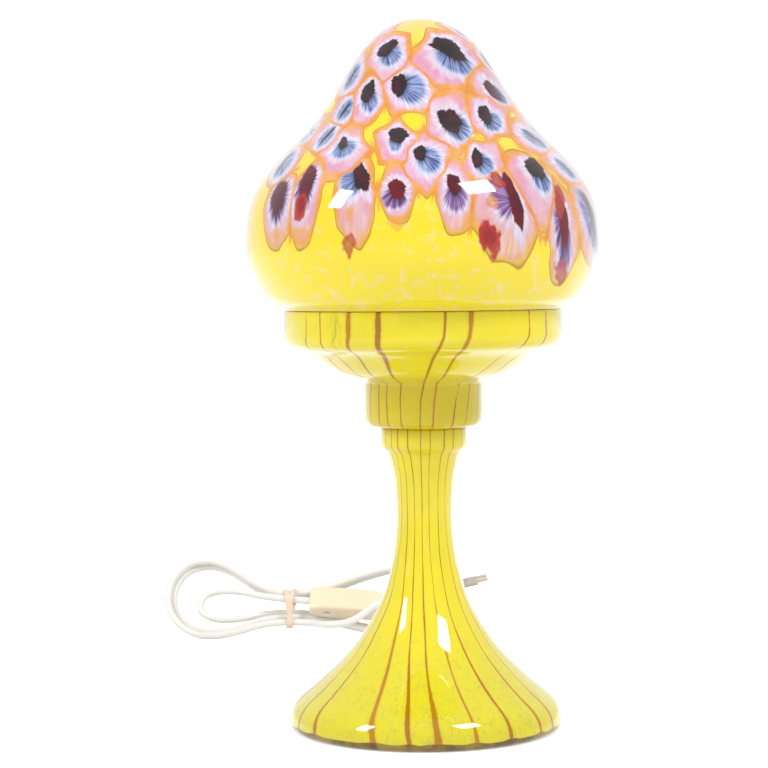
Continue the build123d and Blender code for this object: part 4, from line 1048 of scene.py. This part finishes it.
finishes = [
    ("cord_inner cord_lead cord_hank", "white_vinyl", (0.86, 0.84, 0.81), 0.42, 90.0, 0.12, {"bump": 0.15}),
    ("rubber_band", "peach_rubber", (0.90, 0.68, 0.53), 0.7, 120.0, 0.3, {"bump": 0.4}),
    (
        "switch_top_shell switch_bottom_shell switch_rocker",
        "cream_plastic", (0.90, 0.76, 0.54), 0.32, 70.0, 0.08, {"bump": 0.06},
    ),
    ("plug_body plug_relief", "plug_vinyl", (0.80, 0.80, 0.78), 0.45, 80.0, 0.1, {"bump": 0.12}),
    ("pin_sleeves", "sleeve_plastic", (0.48, 0.44, 0.38), 0.4, 90.0, 0.15, {}),
    ("plug_pins", "nickel_plate", (0.66, 0.63, 0.57), 0.22, 160.0, 0.25, {"metallic": 1.0}),
    (
        "switch_screws holder_plate bung_washer lock_washer holder_side_screw terminal_screws",
        "zinc_plate", (0.55, 0.56, 0.58), 0.38, 130.0, 0.35, {"metallic": 1.0, "bump": 0.2},
    ),
    (
        "switch_contacts plate_nut threaded_tube clamp_nut centre_contact",
        "plain_brass", (0.62, 0.42, 0.15), 0.3, 110.0, 0.3, {"metallic": 1.0, "bump": 0.15},
    ),
    (
        "screw_shell bulb_cap bulb_contact",
        "pressed_aluminium", (0.72, 0.73, 0.74), 0.3, 140.0, 0.2, {"metallic": 1.0},
    ),
    ("ledge_gasket throat_bung", "black_rubber", (0.022, 0.022, 0.022), 0.75, 100.0, 0.5, {"bump": 0.4}),
    ("tube_bush holder_cap holder_body", "black_plastic", (0.02, 0.02, 0.021), 0.35, 90.0, 0.3, {}),
    ("holder_block", "white_ceramic", (0.74, 0.72, 0.66), 0.25, 60.0, 0.1, {"coat": 0.4}),
    ("cord_grommet", "pale_rubber", (0.62, 0.62, 0.56), 0.6, 90.0, 0.15, {"bump": 0.3}),
    ("core_brown", "brown_sheath", (0.09, 0.035, 0.015), 0.5, 90.0, 0.2, {}),
    ("core_blue", "blue_sheath", (0.02, 0.07, 0.36), 0.5, 90.0, 0.2, {}),
    ("bulb_insulator", "black_glass", (0.012, 0.012, 0.015), 0.12, 90.0, 0.2, {"coat": 0.5}),
    ("bulb_filaments", "yellow_phosphor", (0.80, 0.52, 0.08), 0.6, 400.0, 0.3, {}),
]
clear_material, net, shader = new_material("clear_glass")
look = {"Base Color": (0.86, 0.89, 0.88, 1), "Transmission Weight": 1.0, "Roughness": 0.02, "IOR": 1.45}
net.fill(shader, look)
net.bump(shader, net.noise(40.0), 0.05, 0.0008)
finish_of = dict.fromkeys(("bulb_glass", "bulb_mount"), clear_material)
finish_of |= {"base_glass": base_glass_material, "shade_glass": flower_material}
for members, name, colour, gloss, scale, amount, rest in finishes:
    material = finish(name, colour, gloss, scale, amount, **rest)
    finish_of |= dict.fromkeys(members.split(), material)
for name, item in nodes.items():
    material = finish_of[name]
    if not item.material_slots:
        item.data.materials.append(material)
    for slot in item.material_slots:
        slot.material = material
for piece in (cord_free, cord_loops):
    piece.data.materials.append(finish_of["cord_inner"])
print("finished nodes:", len(nodes))

# %% [markdown]
# ## Size
# The dressed lamp is built to fill the same space as the solids, and the scene is brought up to date.

# %% Size
bpy.context.view_layer.update()
